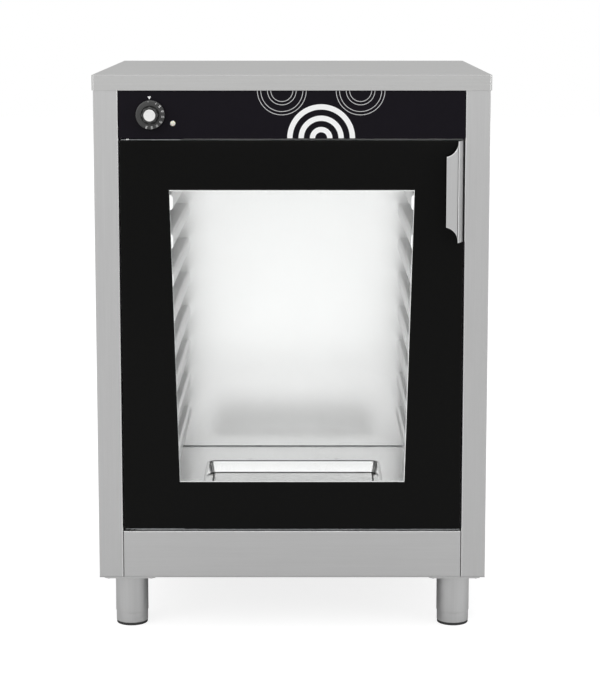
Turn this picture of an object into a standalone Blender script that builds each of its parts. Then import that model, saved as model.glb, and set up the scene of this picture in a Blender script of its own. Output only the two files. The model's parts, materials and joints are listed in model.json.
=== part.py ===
"""Proofing cabinet: a steel case on screw feet, with a glass door, tray racks and a heated water basin.

The cabinet stands on Z = 0 with its front towards -Y, and X = 0 is the middle of its width.
Most places are given as a depth behind the front face of the case, and turned into Y by at_depth.
"""
from math import cos, hypot, pi, radians, sin

import bmesh
import bpy
from mathutils import Vector

MM = 0.001

# Sheet metal and fits
SHELL_GAUGE = 1.2 * MM
WORKTOP_GAUGE = 1.5 * MM
LINER_GAUGE = 1.0 * MM
BEND_RADIUS = 2.0 * MM
TOUCH = 0.3 * MM
RUNNING = 0.15 * MM
OVERRUN = 5 * MM

# Case, from the floor up
WORKTOP_WIDTH = 600 * MM
WORKTOP_DEPTH = 580 * MM
LEG_HEIGHT = 85 * MM
PLINTH_HEIGHT = 73.5 * MM
DOOR_FOOT_GAP = 4 * MM
DOOR_HEIGHT = 599.5 * MM
DOOR_HEAD_GAP = 2.5 * MM
PANEL_HEIGHT = 72.5 * MM
LIP_HEIGHT = 23 * MM
POST_WIDTH = 37.5 * MM
REBATE_DEPTH = 40 * MM
REAR_FLANGE = 25 * MM
FLANGE = 10 * MM
SIDE_WALL = 76 * MM
BACK_WALL = 76 * MM
CEILING_WALL = 27 * MM
FLOOR_RISE = 22 * MM
STIFFENER_WIDTH = 60 * MM
STIFFENER_HEIGHT = 16 * MM
STIFFENER_MARGIN = 12 * MM
VENT_COUNT = 6
VENT_LENGTH = 60 * MM
VENT_WIDTH = 4 * MM
VENT_PITCH = 9 * MM

# Door
DOOR_SIDE_GAP = 1.5 * MM
GLASS_THICKNESS = 4 * MM
GLASS_CHAMFER = 1 * MM
BORDER_THICKNESS = 0.5 * MM
WINDOW_HEAD = 74.9 * MM
WINDOW_FOOT = 73.8 * MM
WINDOW_SIDE_TOP = 74 * MM
WINDOW_SIDE_BOTTOM = 86.6 * MM
PAN_INSET = 2.4 * MM
PAN_DEPTH = 33 * MM
APERTURE_MARGIN = 14 * MM
INNER_GLASS_LAP = 12 * MM
CLAMP_LAP = 8 * MM
GASKET_WIDTH = 10 * MM
GASKET_LAND = 4 * MM
MAGNET_WIDTH = 9 * MM
MAGNET_HEIGHT = 60 * MM
MAGNET_SIDE = 5 * MM
MAGNET_PULL_GAP = 0.6 * MM

# Hinges
AXIS_SIDE = 11.7 * MM
AXIS_DEPTH = 5.5 * MM
PIN_RADIUS = 2.5 * MM
COLLAR_RADIUS = 4 * MM
PIN_REACH = 9 * MM
HINGE_PLATE_LENGTH = 90 * MM
HINGE_PLATE_DEPTH = 28 * MM
HINGE_PLATE_GAUGE = 1.2 * MM
HINGE_PLATE_SETBACK = 2.5 * MM
BRACKET_LENGTH = 34 * MM
BRACKET_THICKNESS = 3 * MM
WASHER_RADIUS = 5 * MM

# Handle
HANDLE_LENGTH = 153 * MM
HANDLE_GAUGE = 1.2 * MM
HANDLE_PROUD = 18 * MM
HANDLE_WING = 18.8 * MM
HANDLE_SLOPE = 7.6 * MM
HANDLE_FLANGE = 26 * MM
HANDLE_SCALLOP = 22 * MM
SCALLOP_SIDE = 4.5 * MM
SCALLOP_INSET = 1.8 * MM

# Control row
KNOB_SIDE = 47.2 * MM
KNOB_LEVEL = 36.3 * MM
DIAL_RADIUS = 21.75 * MM
DIAL_THICKNESS = 9 * MM
DIAL_CHAMFER = 2 * MM
DIAL_CLEARANCE = 1 * MM
HUB_RADIUS = 12.5 * MM
HUB_LOBE = 1.1 * MM
HUB_LOBES = 6
HUB_HEIGHT = 11 * MM
CAP_RADIUS = 8.85 * MM
CAP_THICKNESS = 1.4 * MM
SHAFT_RADIUS = 3 * MM
SHAFT_IN_BODY = 14 * MM
BUSH_RADIUS = 5 * MM
THERMOSTAT_WIDTH = 36 * MM
THERMOSTAT_HEIGHT = 42 * MM
THERMOSTAT_DEPTH = 30 * MM
LAMP_SIDE = 80.5 * MM
LAMP_DROP = 13.2 * MM
LAMP_RADIUS = 4.5 * MM
LAMP_NECK = 3.5 * MM
LAMP_PROUD = 2 * MM
LAMP_BODY_RADIUS = 6 * MM
LAMP_BODY_LENGTH = 24 * MM
BLOCK_LENGTH = 62 * MM
BLOCK_DEPTH = 20 * MM
BLOCK_HEIGHT = 22 * MM
BLOCK_WAYS = 5
BLOCK_WAY_RADIUS = 2.5 * MM
BLOCK_WAY_DEPTH = 8 * MM
GLAND_SIDE = 70 * MM
GLAND_THREAD = 8 * MM
GLAND_NUT = 12 * MM
GLAND_BORE = 4 * MM
GLAND_OUT = 22 * MM
GLAND_IN = 10 * MM
GLAND_COLLAR = 7 * MM

# Chamber fittings
RACK_NOSE = 39 * MM
RACK_NOSE_HEIGHT = 22 * MM
RACK_SLANT_HEIGHT = 16 * MM
RACK_PITCH = 60.5 * MM
RACK_HEAD = 63.5 * MM
RACK_FOOT = 10 * MM
RACK_END_GAP = 5 * MM
RACK_FRONT_GAP = 16 * MM
RACK_REAR_GAP = 10 * MM
BASIN_WIDTH = 287 * MM
BASIN_DEPTH = 20 * MM
BASIN_RADIUS = 12 * MM
BASIN_RIM = 5 * MM
BASIN_DRAFT = 2 * MM
BASIN_PLAY = 1 * MM
BASIN_FRONT_GAP = 91.9 * MM
BASIN_REAR_GAP = 117 * MM
BASIN_GAUGE = 0.8 * MM
ELEMENT_RADIUS = 4.25 * MM
ELEMENT_BEND = 22 * MM
ELEMENT_RUNS = 4
ELEMENT_MARGIN = 24 * MM
HEATER_TRAY_MARGIN = 30 * MM
HEATER_TRAY_DEPTH = 38 * MM
BULB_RADIUS = 4 * MM
BULB_LENGTH = 90 * MM
BULB_REAR_GAP = 22 * MM
CAPILLARY_RADIUS = 1.25 * MM
CAPILLARY_HOLE = 2.5 * MM
CAPILLARY_RISE = 14 * MM

# Legs
LEG_SIDE = 46 * MM
LEG_INSET = 48 * MM
TUBE_RADIUS = 25.4 * MM
TUBE_WALL = 1.5 * MM
TUBE_FLOOR = 3 * MM
FOOT_RADIUS = 24.7 * MM
FOOT_HEIGHT = 20 * MM
FOOT_EDGE = 2.5 * MM
STEM_RADIUS = 5 * MM
STEM_LENGTH = 42 * MM

ROUND_STEPS = 32
PIN_STEPS = 24
BEND_STEPS = 3
CORNER_STEPS = 4

# Heights of the main levels above the floor
BASE_TOP = LEG_HEIGHT + SHELL_GAUGE
CASE_BOTTOM = BASE_TOP + TOUCH
PLINTH_TOP = LEG_HEIGHT + PLINTH_HEIGHT
DOOR_BOTTOM = PLINTH_TOP + DOOR_FOOT_GAP
DOOR_TOP = DOOR_BOTTOM + DOOR_HEIGHT
PANEL_BOTTOM = DOOR_TOP + DOOR_HEAD_GAP
LIP_BOTTOM = PANEL_BOTTOM + PANEL_HEIGHT
HEIGHT = LIP_BOTTOM + LIP_HEIGHT
CASE_TOP = HEIGHT - WORKTOP_GAUGE - TOUCH
MOUTH_BOTTOM = PLINTH_TOP + FLOOR_RISE
MOUTH_TOP = PANEL_BOTTOM - CEILING_WALL - SHELL_GAUGE - TOUCH
FLOOR_TOP = MOUTH_BOTTOM - SHELL_GAUGE - TOUCH
FLOOR_UNDER = FLOOR_TOP - LINER_GAUGE
CEILING_UNDER = MOUTH_TOP + SHELL_GAUGE + TOUCH
CEILING_TOP = CEILING_UNDER + LINER_GAUGE
SHELF_UNDER = PANEL_BOTTOM - SHELL_GAUGE - TOUCH
SHELF_TOP = SHELF_UNDER + SHELL_GAUGE

# Half widths, measured from the middle
OVERHANG = WORKTOP_GAUGE + TOUCH
CASE_HALF = WORKTOP_WIDTH / 2 - OVERHANG
INSIDE_HALF = CASE_HALF - SHELL_GAUGE - TOUCH
OPENING_HALF = CASE_HALF - POST_WIDTH
DOOR_HALF = OPENING_HALF - DOOR_SIDE_GAP
PAN_HALF = DOOR_HALF - PAN_INSET
MOUTH_HALF = CASE_HALF - SIDE_WALL
LINER_HALF = MOUTH_HALF + SHELL_GAUGE + TOUCH
SLAB_HALF = LINER_HALF + LINER_GAUGE + TOUCH

# Depths behind the front face of the case
CASE_DEPTH = WORKTOP_DEPTH - 2 * OVERHANG
FRAME_BACK = REBATE_DEPTH + SHELL_GAUGE
CHAMBER_FRONT = FRAME_BACK + TOUCH
CHAMBER_BACK = CASE_DEPTH - BACK_WALL
LINER_BACK = CHAMBER_BACK + TOUCH + LINER_GAUGE
PANEL_BACK = CASE_DEPTH - SHELL_GAUGE - TOUCH
INSIDE_BACK = PANEL_BACK - SHELL_GAUGE - TOUCH
BORDER_BACK = GLASS_THICKNESS + TOUCH + BORDER_THICKNESS
PAN_FRONT = BORDER_BACK + TOUCH
KNOB_REACH = DIAL_CLEARANCE + DIAL_THICKNESS + HUB_HEIGHT + TOUCH + CAP_THICKNESS
FRONT_REACH = max(KNOB_REACH, HANDLE_PROUD + HANDLE_GAUGE)
FRONT_Y = (FRONT_REACH - PANEL_BACK - GLAND_OUT) / 2

# Places that several pieces share
AXIS_X = AXIS_SIDE - DOOR_HALF
KNOB_X = KNOB_SIDE - DOOR_HALF
KNOB_Z = PANEL_BOTTOM + KNOB_LEVEL
LAMP_X = LAMP_SIDE - DOOR_HALF
LAMP_Z = KNOB_Z - LAMP_DROP
GLAND_X = CASE_HALF - GLAND_SIDE
GLAND_Z = (SHELF_TOP + CASE_TOP) / 2
WINDOW_TOP = DOOR_TOP - WINDOW_HEAD
WINDOW_BOTTOM = DOOR_BOTTOM + WINDOW_FOOT
BASIN_LENGTH = CHAMBER_BACK - CHAMBER_FRONT - BASIN_FRONT_GAP - BASIN_REAR_GAP
BASIN_FRONT = CHAMBER_FRONT + BASIN_FRONT_GAP
BASIN_BACK = BASIN_FRONT + BASIN_LENGTH
BASIN_RIM_Z = FLOOR_TOP + TOUCH
TUBE_BOTTOM = FOOT_HEIGHT + TOUCH
HEATER_TRAY_TOP = FLOOR_UNDER - TOUCH
HEATER_TRAY_BOTTOM = HEATER_TRAY_TOP - HEATER_TRAY_DEPTH
BULB_X = BULB_LENGTH / 2
BULB_DEPTH = CHAMBER_BACK - BULB_REAR_GAP
BULB_Z = CEILING_UNDER - TOUCH - BULB_RADIUS
CAPILLARY_X = -BULB_X - CAPILLARY_RISE

# Finish name to colour, roughness, metallic and alpha
FINISHES = {
    "worktop steel": ((0.52, 0.52, 0.515), 0.34, 1.0, 1.0),
    "case steel": ((0.5, 0.5, 0.5), 0.36, 1.0, 1.0),
    "chamber steel": ((0.68, 0.68, 0.68), 0.32, 1.0, 1.0),
    "galvanised steel": ((0.42, 0.43, 0.44), 0.5, 1.0, 1.0),
    "polished steel": ((0.7, 0.7, 0.7), 0.18, 1.0, 1.0),
    "element sheath": ((0.16, 0.15, 0.14), 0.45, 1.0, 1.0),
    "copper": ((0.6, 0.28, 0.16), 0.35, 1.0, 1.0),
    "black panel": ((0.009, 0.008, 0.012), 0.3, 0.0, 1.0),
    "black enamel": ((0.009, 0.009, 0.009), 0.25, 0.0, 1.0),
    "clear glass": ((0.9, 0.95, 0.93), 0.03, 0.0, 0.2),
    "black rubber": ((0.02, 0.02, 0.02), 0.75, 0.0, 1.0),
    "black plastic": ((0.02, 0.02, 0.022), 0.45, 0.0, 1.0),
    "white plastic": ((0.75, 0.75, 0.73), 0.4, 0.0, 1.0),
    "lamp lens": ((0.85, 0.8, 0.68), 0.25, 0.0, 1.0),
    "mineral wool": ((0.52, 0.45, 0.27), 0.95, 0.0, 1.0),
}


def at_depth(depth):
    """The Y of a plane this far behind the front face of the case."""
    return FRONT_Y + depth


def mirrored_x(x, side):
    """An X range on the left (side -1) or the right (side 1), given as distances from the middle."""
    return sorted((side * x[0], side * x[1]))


def clear_scene():
    for obj in list(bpy.data.objects):
        bpy.data.objects.remove(obj, do_unlink=True)


def make_material(name, finish):
    colour, roughness, metallic, alpha = FINISHES[finish]
    material = bpy.data.materials.new(name)
    material.use_nodes = True
    shader = material.node_tree.nodes["Principled BSDF"]
    shader.inputs["Base Color"].default_value = (*colour, 1)
    shader.inputs["Roughness"].default_value = roughness
    shader.inputs["Metallic"].default_value = metallic
    shader.inputs["Alpha"].default_value = alpha
    return material


def make_axis(name, x, depth, z):
    """An empty on a joint's axis, which carries the pieces that move with it."""
    axis = bpy.data.objects.new(name, None)
    axis.location = (x, at_depth(depth), z)
    bpy.context.collection.objects.link(axis)
    return axis


def add_piece(name, bm, finish, axis=None, smooth=False):
    """Make an object of a bmesh in cabinet coordinates, with its origin on its axis or in its own middle."""
    bmesh.ops.recalc_face_normals(bm, faces=bm.faces)
    low = Vector(min(v.co[i] for v in bm.verts) for i in range(3))
    high = Vector(max(v.co[i] for v in bm.verts) for i in range(3))
    origin = axis.location.copy() if axis else (low + high) / 2
    bmesh.ops.translate(bm, verts=bm.verts, vec=-origin)
    mesh = bpy.data.meshes.new(name)
    bm.to_mesh(mesh)
    bm.free()
    if smooth:
        mesh.shade_smooth()
        mesh.set_sharp_from_angle(angle=radians(35))
    obj = bpy.data.objects.new(name, mesh)
    mesh.materials.append(make_material(name, finish))
    bpy.context.collection.objects.link(obj)
    if axis:
        obj.parent = axis
    else:
        obj.location = origin
    return obj


def cut(piece, bm, name):
    """Take a bmesh in cabinet coordinates away from a piece, as a Boolean with a hidden cutter."""
    bmesh.ops.recalc_face_normals(bm, faces=bm.faces)
    mesh = bpy.data.meshes.new(name)
    bm.to_mesh(mesh)
    bm.free()
    cutter = bpy.data.objects.new(name, mesh)
    cutter.hide_render = True
    cutter.display_type = "WIRE"
    bpy.context.collection.objects.link(cutter)
    modifier = piece.modifiers.new(name, "BOOLEAN")
    modifier.operation = "DIFFERENCE"
    modifier.object = cutter


def block(x, depth, z, bm=None):
    """A rectangular block from three (low, high) ranges."""
    corners = [(x[0], z[0]), (x[1], z[0]), (x[1], z[1]), (x[0], z[1])]
    return loft([[Vector((a, at_depth(d), b)) for a, b in corners] for d in depth], bm=bm)


def loft(loops, ring=False, bm=None):
    """Join loops of equal point counts in order, closed by end faces or as a ring."""
    bm = bm or bmesh.new()
    rows = [[bm.verts.new(point) for point in loop] for loop in loops]
    pairs = list(zip(rows, rows[1:]))
    if ring:
        pairs.append((rows[-1], rows[0]))
    for near, far in pairs:
        for i in range(len(near)):
            j = (i + 1) % len(near)
            bm.faces.new((near[i], near[j], far[j], far[i]))
    if not ring:
        bm.faces.new(rows[0])
        bm.faces.new(rows[-1])
    return bm


def plan_prism(outline, z, bm=None):
    """An outline of (x, depth) points, extruded over a height range."""
    return loft([[Vector((x, at_depth(d), level)) for x, d in outline] for level in z], bm=bm)


def side_prism(outline, x, bm=None):
    """An outline of (depth, z) points, extruded over a width range."""
    return loft([[Vector((place, at_depth(d), z)) for d, z in outline] for place in x], bm=bm)


def front_prism(outline, depth, bm=None):
    """An outline of (x, z) points, extruded over a depth range."""
    return loft([[Vector((x, at_depth(d), z)) for x, z in outline] for d in depth], bm=bm)


def rectangle(half_width, z):
    """The (x, z) corners of a rectangle about the middle."""
    return [(-half_width, z[0]), (half_width, z[0]), (half_width, z[1]), (-half_width, z[1])]


def trapezoid(top_half, bottom_half, z):
    """The (x, z) corners of a window that narrows downwards."""
    return [(-bottom_half, z[0]), (bottom_half, z[0]), (top_half, z[1]), (-top_half, z[1])]


def face_loop(outline, depth):
    """An (x, z) outline as a loop of points in the plane of one depth."""
    return [Vector((x, at_depth(depth), z)) for x, z in outline]


def arc(centre, radius, start, end, steps):
    """Points of an arc between two angles in degrees, ends included."""
    angles = [radians(start + (end - start) * i / steps) for i in range(steps + 1)]
    return [(centre[0] + radius * cos(a), centre[1] + radius * sin(a)) for a in angles]


def circle(centre, radius, steps):
    return arc(centre, radius, 0, 360, steps)[:-1]


def rounded_rectangle(x, y, radius):
    """A rectangle of two (low, high) ranges with round corners."""
    outline = []
    corners = [(x[1], y[1], 0), (x[0], y[1], 90), (x[0], y[0], 180), (x[1], y[0], 270)]
    for corner_x, corner_y, start in corners:
        inner_x = min(max(corner_x, x[0] + radius), x[1] - radius)
        inner_y = min(max(corner_y, y[0] + radius), y[1] - radius)
        outline += arc((inner_x, inner_y), radius, start, start + 90, CORNER_STEPS)
    return outline


def unit(start, end):
    length = hypot(end[0] - start[0], end[1] - start[1])
    return ((end[0] - start[0]) / length, (end[1] - start[1]) / length)


def with_bends(path, radius):
    """Round each inner corner of a path, from one radius before the corner to one radius after it."""
    points = [path[0]]
    for before, corner, after in zip(path, path[1:], path[2:]):
        back, on = unit(corner, before), unit(corner, after)
        for i in range(BEND_STEPS + 1):
            leave, arrive = (1 - i / BEND_STEPS) ** 2, (i / BEND_STEPS) ** 2
            points.append(tuple(c + radius * (leave * b + arrive * o) for c, b, o in zip(corner, back, on)))
    points.append(path[-1])
    return points


def folded(path, gauge, radius=BEND_RADIUS):
    """The closed outline of a sheet whose one side follows the path, and whose other lies to its left."""
    points = with_bends(path, radius)
    ways = [unit(a, b) for a, b in zip(points, points[1:])]
    inner = []
    for i, point in enumerate(points):
        before, after = ways[max(i - 1, 0)], ways[min(i, len(ways) - 1)]
        normal = (-before[1] - after[1], before[0] + after[0])
        scale = gauge * 2 / (normal[0] ** 2 + normal[1] ** 2)
        inner.append((point[0] + normal[0] * scale, point[1] + normal[1] * scale))
    return points + inner[::-1]


def turned(profile, centre, axis, steps=ROUND_STEPS):
    """Turn a closed (radius, distance) profile about a vertical (Z) or front-to-back (Y) line."""
    bm = bmesh.new()
    rows = []
    for radius, distance in profile:
        ring = circle((0, 0), radius, steps) if radius else [(0, 0)]
        if axis == "Z":
            points = [Vector((centre[0] + a, at_depth(centre[1]) + b, distance)) for a, b in ring]
        else:
            points = [Vector((centre[0] + a, at_depth(distance), centre[1] + b)) for a, b in ring]
        rows.append([bm.verts.new(point) for point in points])
    for near, far in zip(rows, rows[1:] + rows[:1]):
        for i in range(steps):
            j = (i + 1) % steps
            if len(near) > 1 and len(far) > 1:
                bm.faces.new((near[i], near[j], far[j], far[i]))
            elif len(near) > 1:
                bm.faces.new((near[i], near[j], far[0]))
            elif len(far) > 1:
                bm.faces.new((near[0], far[j], far[i]))
    return bm


def rod(centre, radius, reach, axis, steps=PIN_STEPS):
    """A plain cylinder over a range of heights (Z) or depths (Y)."""
    profile = [(0, reach[0]), (radius, reach[0]), (radius, reach[1]), (0, reach[1])]
    return turned(profile, centre, axis, steps)


def tube_piece(name, points, radius, finish):
    """A solid tube along a list of (x, depth, z) points."""
    curve = bpy.data.curves.new(name, "CURVE")
    curve.dimensions = "3D"
    curve.bevel_depth = radius
    curve.bevel_resolution = 2
    curve.use_fill_caps = True
    spline = curve.splines.new("POLY")
    spline.points.add(len(points) - 1)
    for place, (x, depth, z) in zip(spline.points, points):
        place.co = (x, at_depth(depth), z, 1)
    curve.materials.append(make_material(name, finish))
    obj = bpy.data.objects.new(name, curve)
    bpy.context.collection.objects.link(obj)
    return obj


def spline_value(t, p, q, r, s):
    """The value between q and r on a Catmull-Rom spline, at a share t of the way."""
    square = 2 * p - 5 * q + 4 * r - s
    cube = 3 * q - p - 3 * r + s
    return (2 * q + (r - p) * t + square * t**2 + cube * t**3) / 2


def smooth_route(points, steps):
    """Points on one smooth curve through a route."""
    padded = [points[0]] + points + [points[-1]]
    route = []
    for a, b, c, d in zip(padded, padded[1:], padded[2:], padded[3:]):
        for i in range(steps):
            t = i / steps
            route.append(tuple(spline_value(t, *values) for values in zip(a, b, c, d)))
    return route + [points[-1]]


def build_worktop():
    """The top pan, open underneath, and the channel that stiffens it."""
    half, front, back = WORKTOP_WIDTH / 2, -OVERHANG, CASE_DEPTH + OVERHANG
    slope = BEND_RADIUS * (1 - cos(pi / 4))
    inside = HEIGHT - WORKTOP_GAUGE
    levels = [(BEND_RADIUS, HEIGHT), (slope, HEIGHT - slope), (0, HEIGHT - BEND_RADIUS), (0, LIP_BOTTOM),
              (WORKTOP_GAUGE, LIP_BOTTOM), (WORKTOP_GAUGE, inside)]
    loops = []
    for inset, z in levels:
        radius = max(2 * BEND_RADIUS - inset, TOUCH)
        plan = rounded_rectangle((inset - half, half - inset), (front + inset, back - inset), radius)
        loops.append([Vector((x, at_depth(d), z)) for x, d in plan])
    add_piece("worktop", loft(loops), "worktop steel", smooth=True)

    rib_top = inside - TOUCH
    rib_half = STIFFENER_WIDTH / 2
    rib_foot = rib_top - STIFFENER_HEIGHT
    path = [(-rib_half, rib_top), (-rib_half, rib_foot), (rib_half, rib_foot), (rib_half, rib_top)]
    outline = folded(path, SHELL_GAUGE)
    middle = CASE_DEPTH / 2
    reach = INSIDE_HALF - STIFFENER_MARGIN
    channel = [(middle + a, z) for a, z in outline]
    add_piece("worktop_stiffener", side_prism(channel, (-reach, reach)), "galvanised steel")


def build_case():
    """The outer sheets: sides with their front posts, back, base, plinth, front frame and control shelf."""
    for name, side in (("side_shell_left", -1), ("side_shell_right", 1)):
        path = [(OPENING_HALF, REBATE_DEPTH - TOUCH), (OPENING_HALF, 0), (CASE_HALF, 0),
                (CASE_HALF, CASE_DEPTH), (CASE_HALF - REAR_FLANGE, CASE_DEPTH)]
        outline = [(side * x, d) for x, d in folded(path, SHELL_GAUGE)]
        add_piece(name, plan_prism(outline, (CASE_BOTTOM, CASE_TOP)), "case steel", smooth=True)

    inside = (-INSIDE_HALF, INSIDE_HALF)
    sheet = block(inside, (INSIDE_BACK + TOUCH, PANEL_BACK), (CASE_BOTTOM, CASE_TOP))
    back = add_piece("back_panel", sheet, "case steel")
    through = (INSIDE_BACK - OVERRUN, PANEL_BACK + OVERRUN)
    cut(back, rod((GLAND_X, GLAND_Z), GLAND_THREAD + TOUCH, through, "Y"), "gland_hole")
    slots = bmesh.new()
    for i in range(VENT_COUNT):
        z = GLAND_Z + (i - (VENT_COUNT - 1) / 2) * VENT_PITCH
        block((-VENT_LENGTH / 2, VENT_LENGTH / 2), through, (z - VENT_WIDTH / 2, z + VENT_WIDTH / 2), slots)
    cut(back, slots, "vent_slots")

    base = block((-CASE_HALF, CASE_HALF), (0, CASE_DEPTH), (LEG_HEIGHT, BASE_TOP))
    add_piece("base_panel", base, "case steel")

    width = (TOUCH - OPENING_HALF, OPENING_HALF - TOUCH)
    seat = REBATE_DEPTH - TOUCH
    path = [(FLANGE + BEND_RADIUS, CASE_BOTTOM), (0, CASE_BOTTOM), (0, PLINTH_TOP), (seat, PLINTH_TOP),
            (seat, PLINTH_TOP - FLANGE)]
    outline = folded(path[::-1], SHELL_GAUGE)
    plinth = add_piece("front_plinth", side_prism(outline, width), "case steel", smooth=True)
    pin_hole = PIN_RADIUS + TOUCH
    through = (PLINTH_TOP - OVERRUN, PLINTH_TOP + OVERRUN)
    cut(plinth, rod((AXIS_X, AXIS_DEPTH), pin_hole, through, "Z"), "plinth_pin_hole")

    path = [(FLANGE + BEND_RADIUS, CASE_TOP), (0, CASE_TOP), (0, PANEL_BOTTOM), (seat, PANEL_BOTTOM),
            (seat, PANEL_BOTTOM + FLANGE)]
    outline = folded(path, SHELL_GAUGE)
    panel = add_piece("control_panel", side_prism(outline, width), "black panel", smooth=True)
    through = (-OVERRUN, BEND_RADIUS + OVERRUN)
    cut(panel, rod((KNOB_X, KNOB_Z), BUSH_RADIUS + TOUCH, through, "Y"), "thermostat_hole")
    cut(panel, rod((LAMP_X, LAMP_Z), LAMP_NECK + TOUCH, through, "Y"), "lamp_hole")
    through = (PANEL_BOTTOM - OVERRUN, PANEL_BOTTOM + OVERRUN)
    cut(panel, rod((AXIS_X, AXIS_DEPTH), pin_hole, through, "Z"), "panel_pin_hole")

    mouth = (MOUTH_BOTTOM, MOUTH_TOP)
    sleeve = (MOUTH_BOTTOM - SHELL_GAUGE, MOUTH_TOP + SHELL_GAUGE)
    edge = (PLINTH_TOP - FLANGE, PANEL_BOTTOM + FLANGE)
    sleeve_half = MOUTH_HALF + SHELL_GAUGE
    sleeve_end = FRAME_BACK + FLANGE
    loops = [(INSIDE_HALF, edge, REBATE_DEPTH), (MOUTH_HALF, mouth, REBATE_DEPTH),
             (MOUTH_HALF, mouth, sleeve_end), (sleeve_half, sleeve, sleeve_end),
             (sleeve_half, sleeve, FRAME_BACK), (INSIDE_HALF, edge, FRAME_BACK)]
    frame = loft([face_loop(rectangle(half, z), depth) for half, z, depth in loops], ring=True)
    add_piece("front_frame", frame, "chamber steel")

    sheet = block(inside, (CHAMBER_FRONT, INSIDE_BACK), (SHELF_UNDER, SHELF_TOP))
    shelf = add_piece("control_shelf", sheet, "galvanised steel")
    cut_capillary_hole(shelf, "shelf_capillary_hole")


def cut_capillary_hole(piece, name):
    through = (CEILING_UNDER - OVERRUN, SHELF_TOP + OVERRUN)
    cut(piece, rod((CAPILLARY_X, BULB_DEPTH), CAPILLARY_HOLE, through, "Z"), name)


def build_chamber():
    """The lining of the chamber and the wool around it."""
    wall = (LINER_HALF, LINER_HALF + LINER_GAUGE)
    length = (CHAMBER_FRONT, CHAMBER_BACK)
    height = (FLOOR_UNDER, CEILING_TOP)
    for name, side in (("liner_left", -1), ("liner_right", 1)):
        add_piece(name, block(mirrored_x(wall, side), length, height), "chamber steel")
    between = (TOUCH - LINER_HALF, LINER_HALF - TOUCH)
    sheet = block(between, length, (CEILING_UNDER, CEILING_TOP))
    ceiling = add_piece("liner_ceiling", sheet, "chamber steel")
    cut_capillary_hole(ceiling, "ceiling_capillary_hole")
    floor = add_piece("liner_floor", block(between, length, (FLOOR_UNDER, FLOOR_TOP)), "chamber steel")
    hole = basin_outline(BASIN_GAUGE + BASIN_PLAY)
    cut(floor, plan_prism(hole, (FLOOR_UNDER - OVERRUN, FLOOR_TOP + OVERRUN)), "basin_hole")
    sheet = block((-wall[1], wall[1]), (CHAMBER_BACK + TOUCH, LINER_BACK), height)
    add_piece("liner_back", sheet, "chamber steel")

    slab_side = (SLAB_HALF, INSIDE_HALF)
    slab_bottom = CASE_BOTTOM + TOUCH
    slab_top = SHELF_UNDER - TOUCH
    slab_middle = (TOUCH - SLAB_HALF, SLAB_HALF - TOUCH)
    slab_length = (CHAMBER_FRONT, INSIDE_BACK)
    for name, side in (("insulation_left", -1), ("insulation_right", 1)):
        slab = block(mirrored_x(slab_side, side), slab_length, (slab_bottom, slab_top))
        add_piece(name, slab, "mineral wool")
    slab = block(slab_middle, slab_length, (CEILING_TOP + TOUCH, slab_top))
    above = add_piece("insulation_ceiling", slab, "mineral wool")
    cut_capillary_hole(above, "wool_capillary_hole")
    slab = block(slab_middle, (LINER_BACK + TOUCH, INSIDE_BACK), (slab_bottom, CEILING_TOP))
    add_piece("insulation_back", slab, "mineral wool")
    slab = block(slab_middle, (CHAMBER_FRONT, LINER_BACK), (slab_bottom, HEATER_TRAY_BOTTOM - TOUCH))
    add_piece("insulation_floor", slab, "mineral wool")


def rack_levels():
    """The heights of the tray ledges, from the top one down."""
    room = CEILING_UNDER - FLOOR_TOP - RACK_HEAD - RACK_NOSE_HEIGHT - RACK_SLANT_HEIGHT - RACK_FOOT
    count = int(room / RACK_PITCH) + 1
    return [CEILING_UNDER - RACK_HEAD - i * RACK_PITCH for i in range(count)]


def build_racks():
    """One pressed sheet on each side, with a hollow ledge for each tray level."""
    outer = LINER_HALF - TOUCH
    face = outer - LINER_GAUGE
    nose = face - RACK_NOSE
    slope = RACK_SLANT_HEIGHT / RACK_NOSE
    lift = LINER_GAUGE * (hypot(1, slope) - slope)
    depth = (CHAMBER_FRONT + RACK_FRONT_GAP, CHAMBER_BACK - RACK_REAR_GAP)
    levels = rack_levels()
    for name, side in (("tray_rack_left", -1), ("tray_rack_right", 1)):
        outline = [(face, CEILING_UNDER - RACK_END_GAP)]
        for z in levels:
            outline += [(face, z), (nose, z), (nose, z - RACK_NOSE_HEIGHT),
                        (face, z - RACK_NOSE_HEIGHT - RACK_SLANT_HEIGHT)]
        outline += [(face, FLOOR_TOP + RACK_END_GAP), (outer, FLOOR_TOP + RACK_END_GAP),
                    (outer, CEILING_UNDER - RACK_END_GAP)]
        rack = add_piece(name, front_prism([(side * x, z) for x, z in outline], depth), "chamber steel")
        hollows = bmesh.new()
        beyond = outer + OVERRUN
        for z in levels:
            inner = nose + LINER_GAUGE
            bottom = z - RACK_NOSE_HEIGHT + lift
            hollow = [(beyond, z - LINER_GAUGE), (inner, z - LINER_GAUGE), (inner, bottom),
                      (beyond, bottom - slope * (beyond - inner))]
            front_prism([(side * x, level) for x, level in hollow],
                        (depth[0] + LINER_GAUGE, depth[1] - LINER_GAUGE), hollows)
        cut(rack, hollows, f"hollows_{name}")


def basin_outline(margin):
    """The plan of the water basin's well, grown by a margin."""
    half = BASIN_WIDTH / 2 + margin
    length = (BASIN_FRONT - margin, BASIN_BACK + margin)
    return rounded_rectangle((-half, half), length, BASIN_RADIUS + margin)


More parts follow.
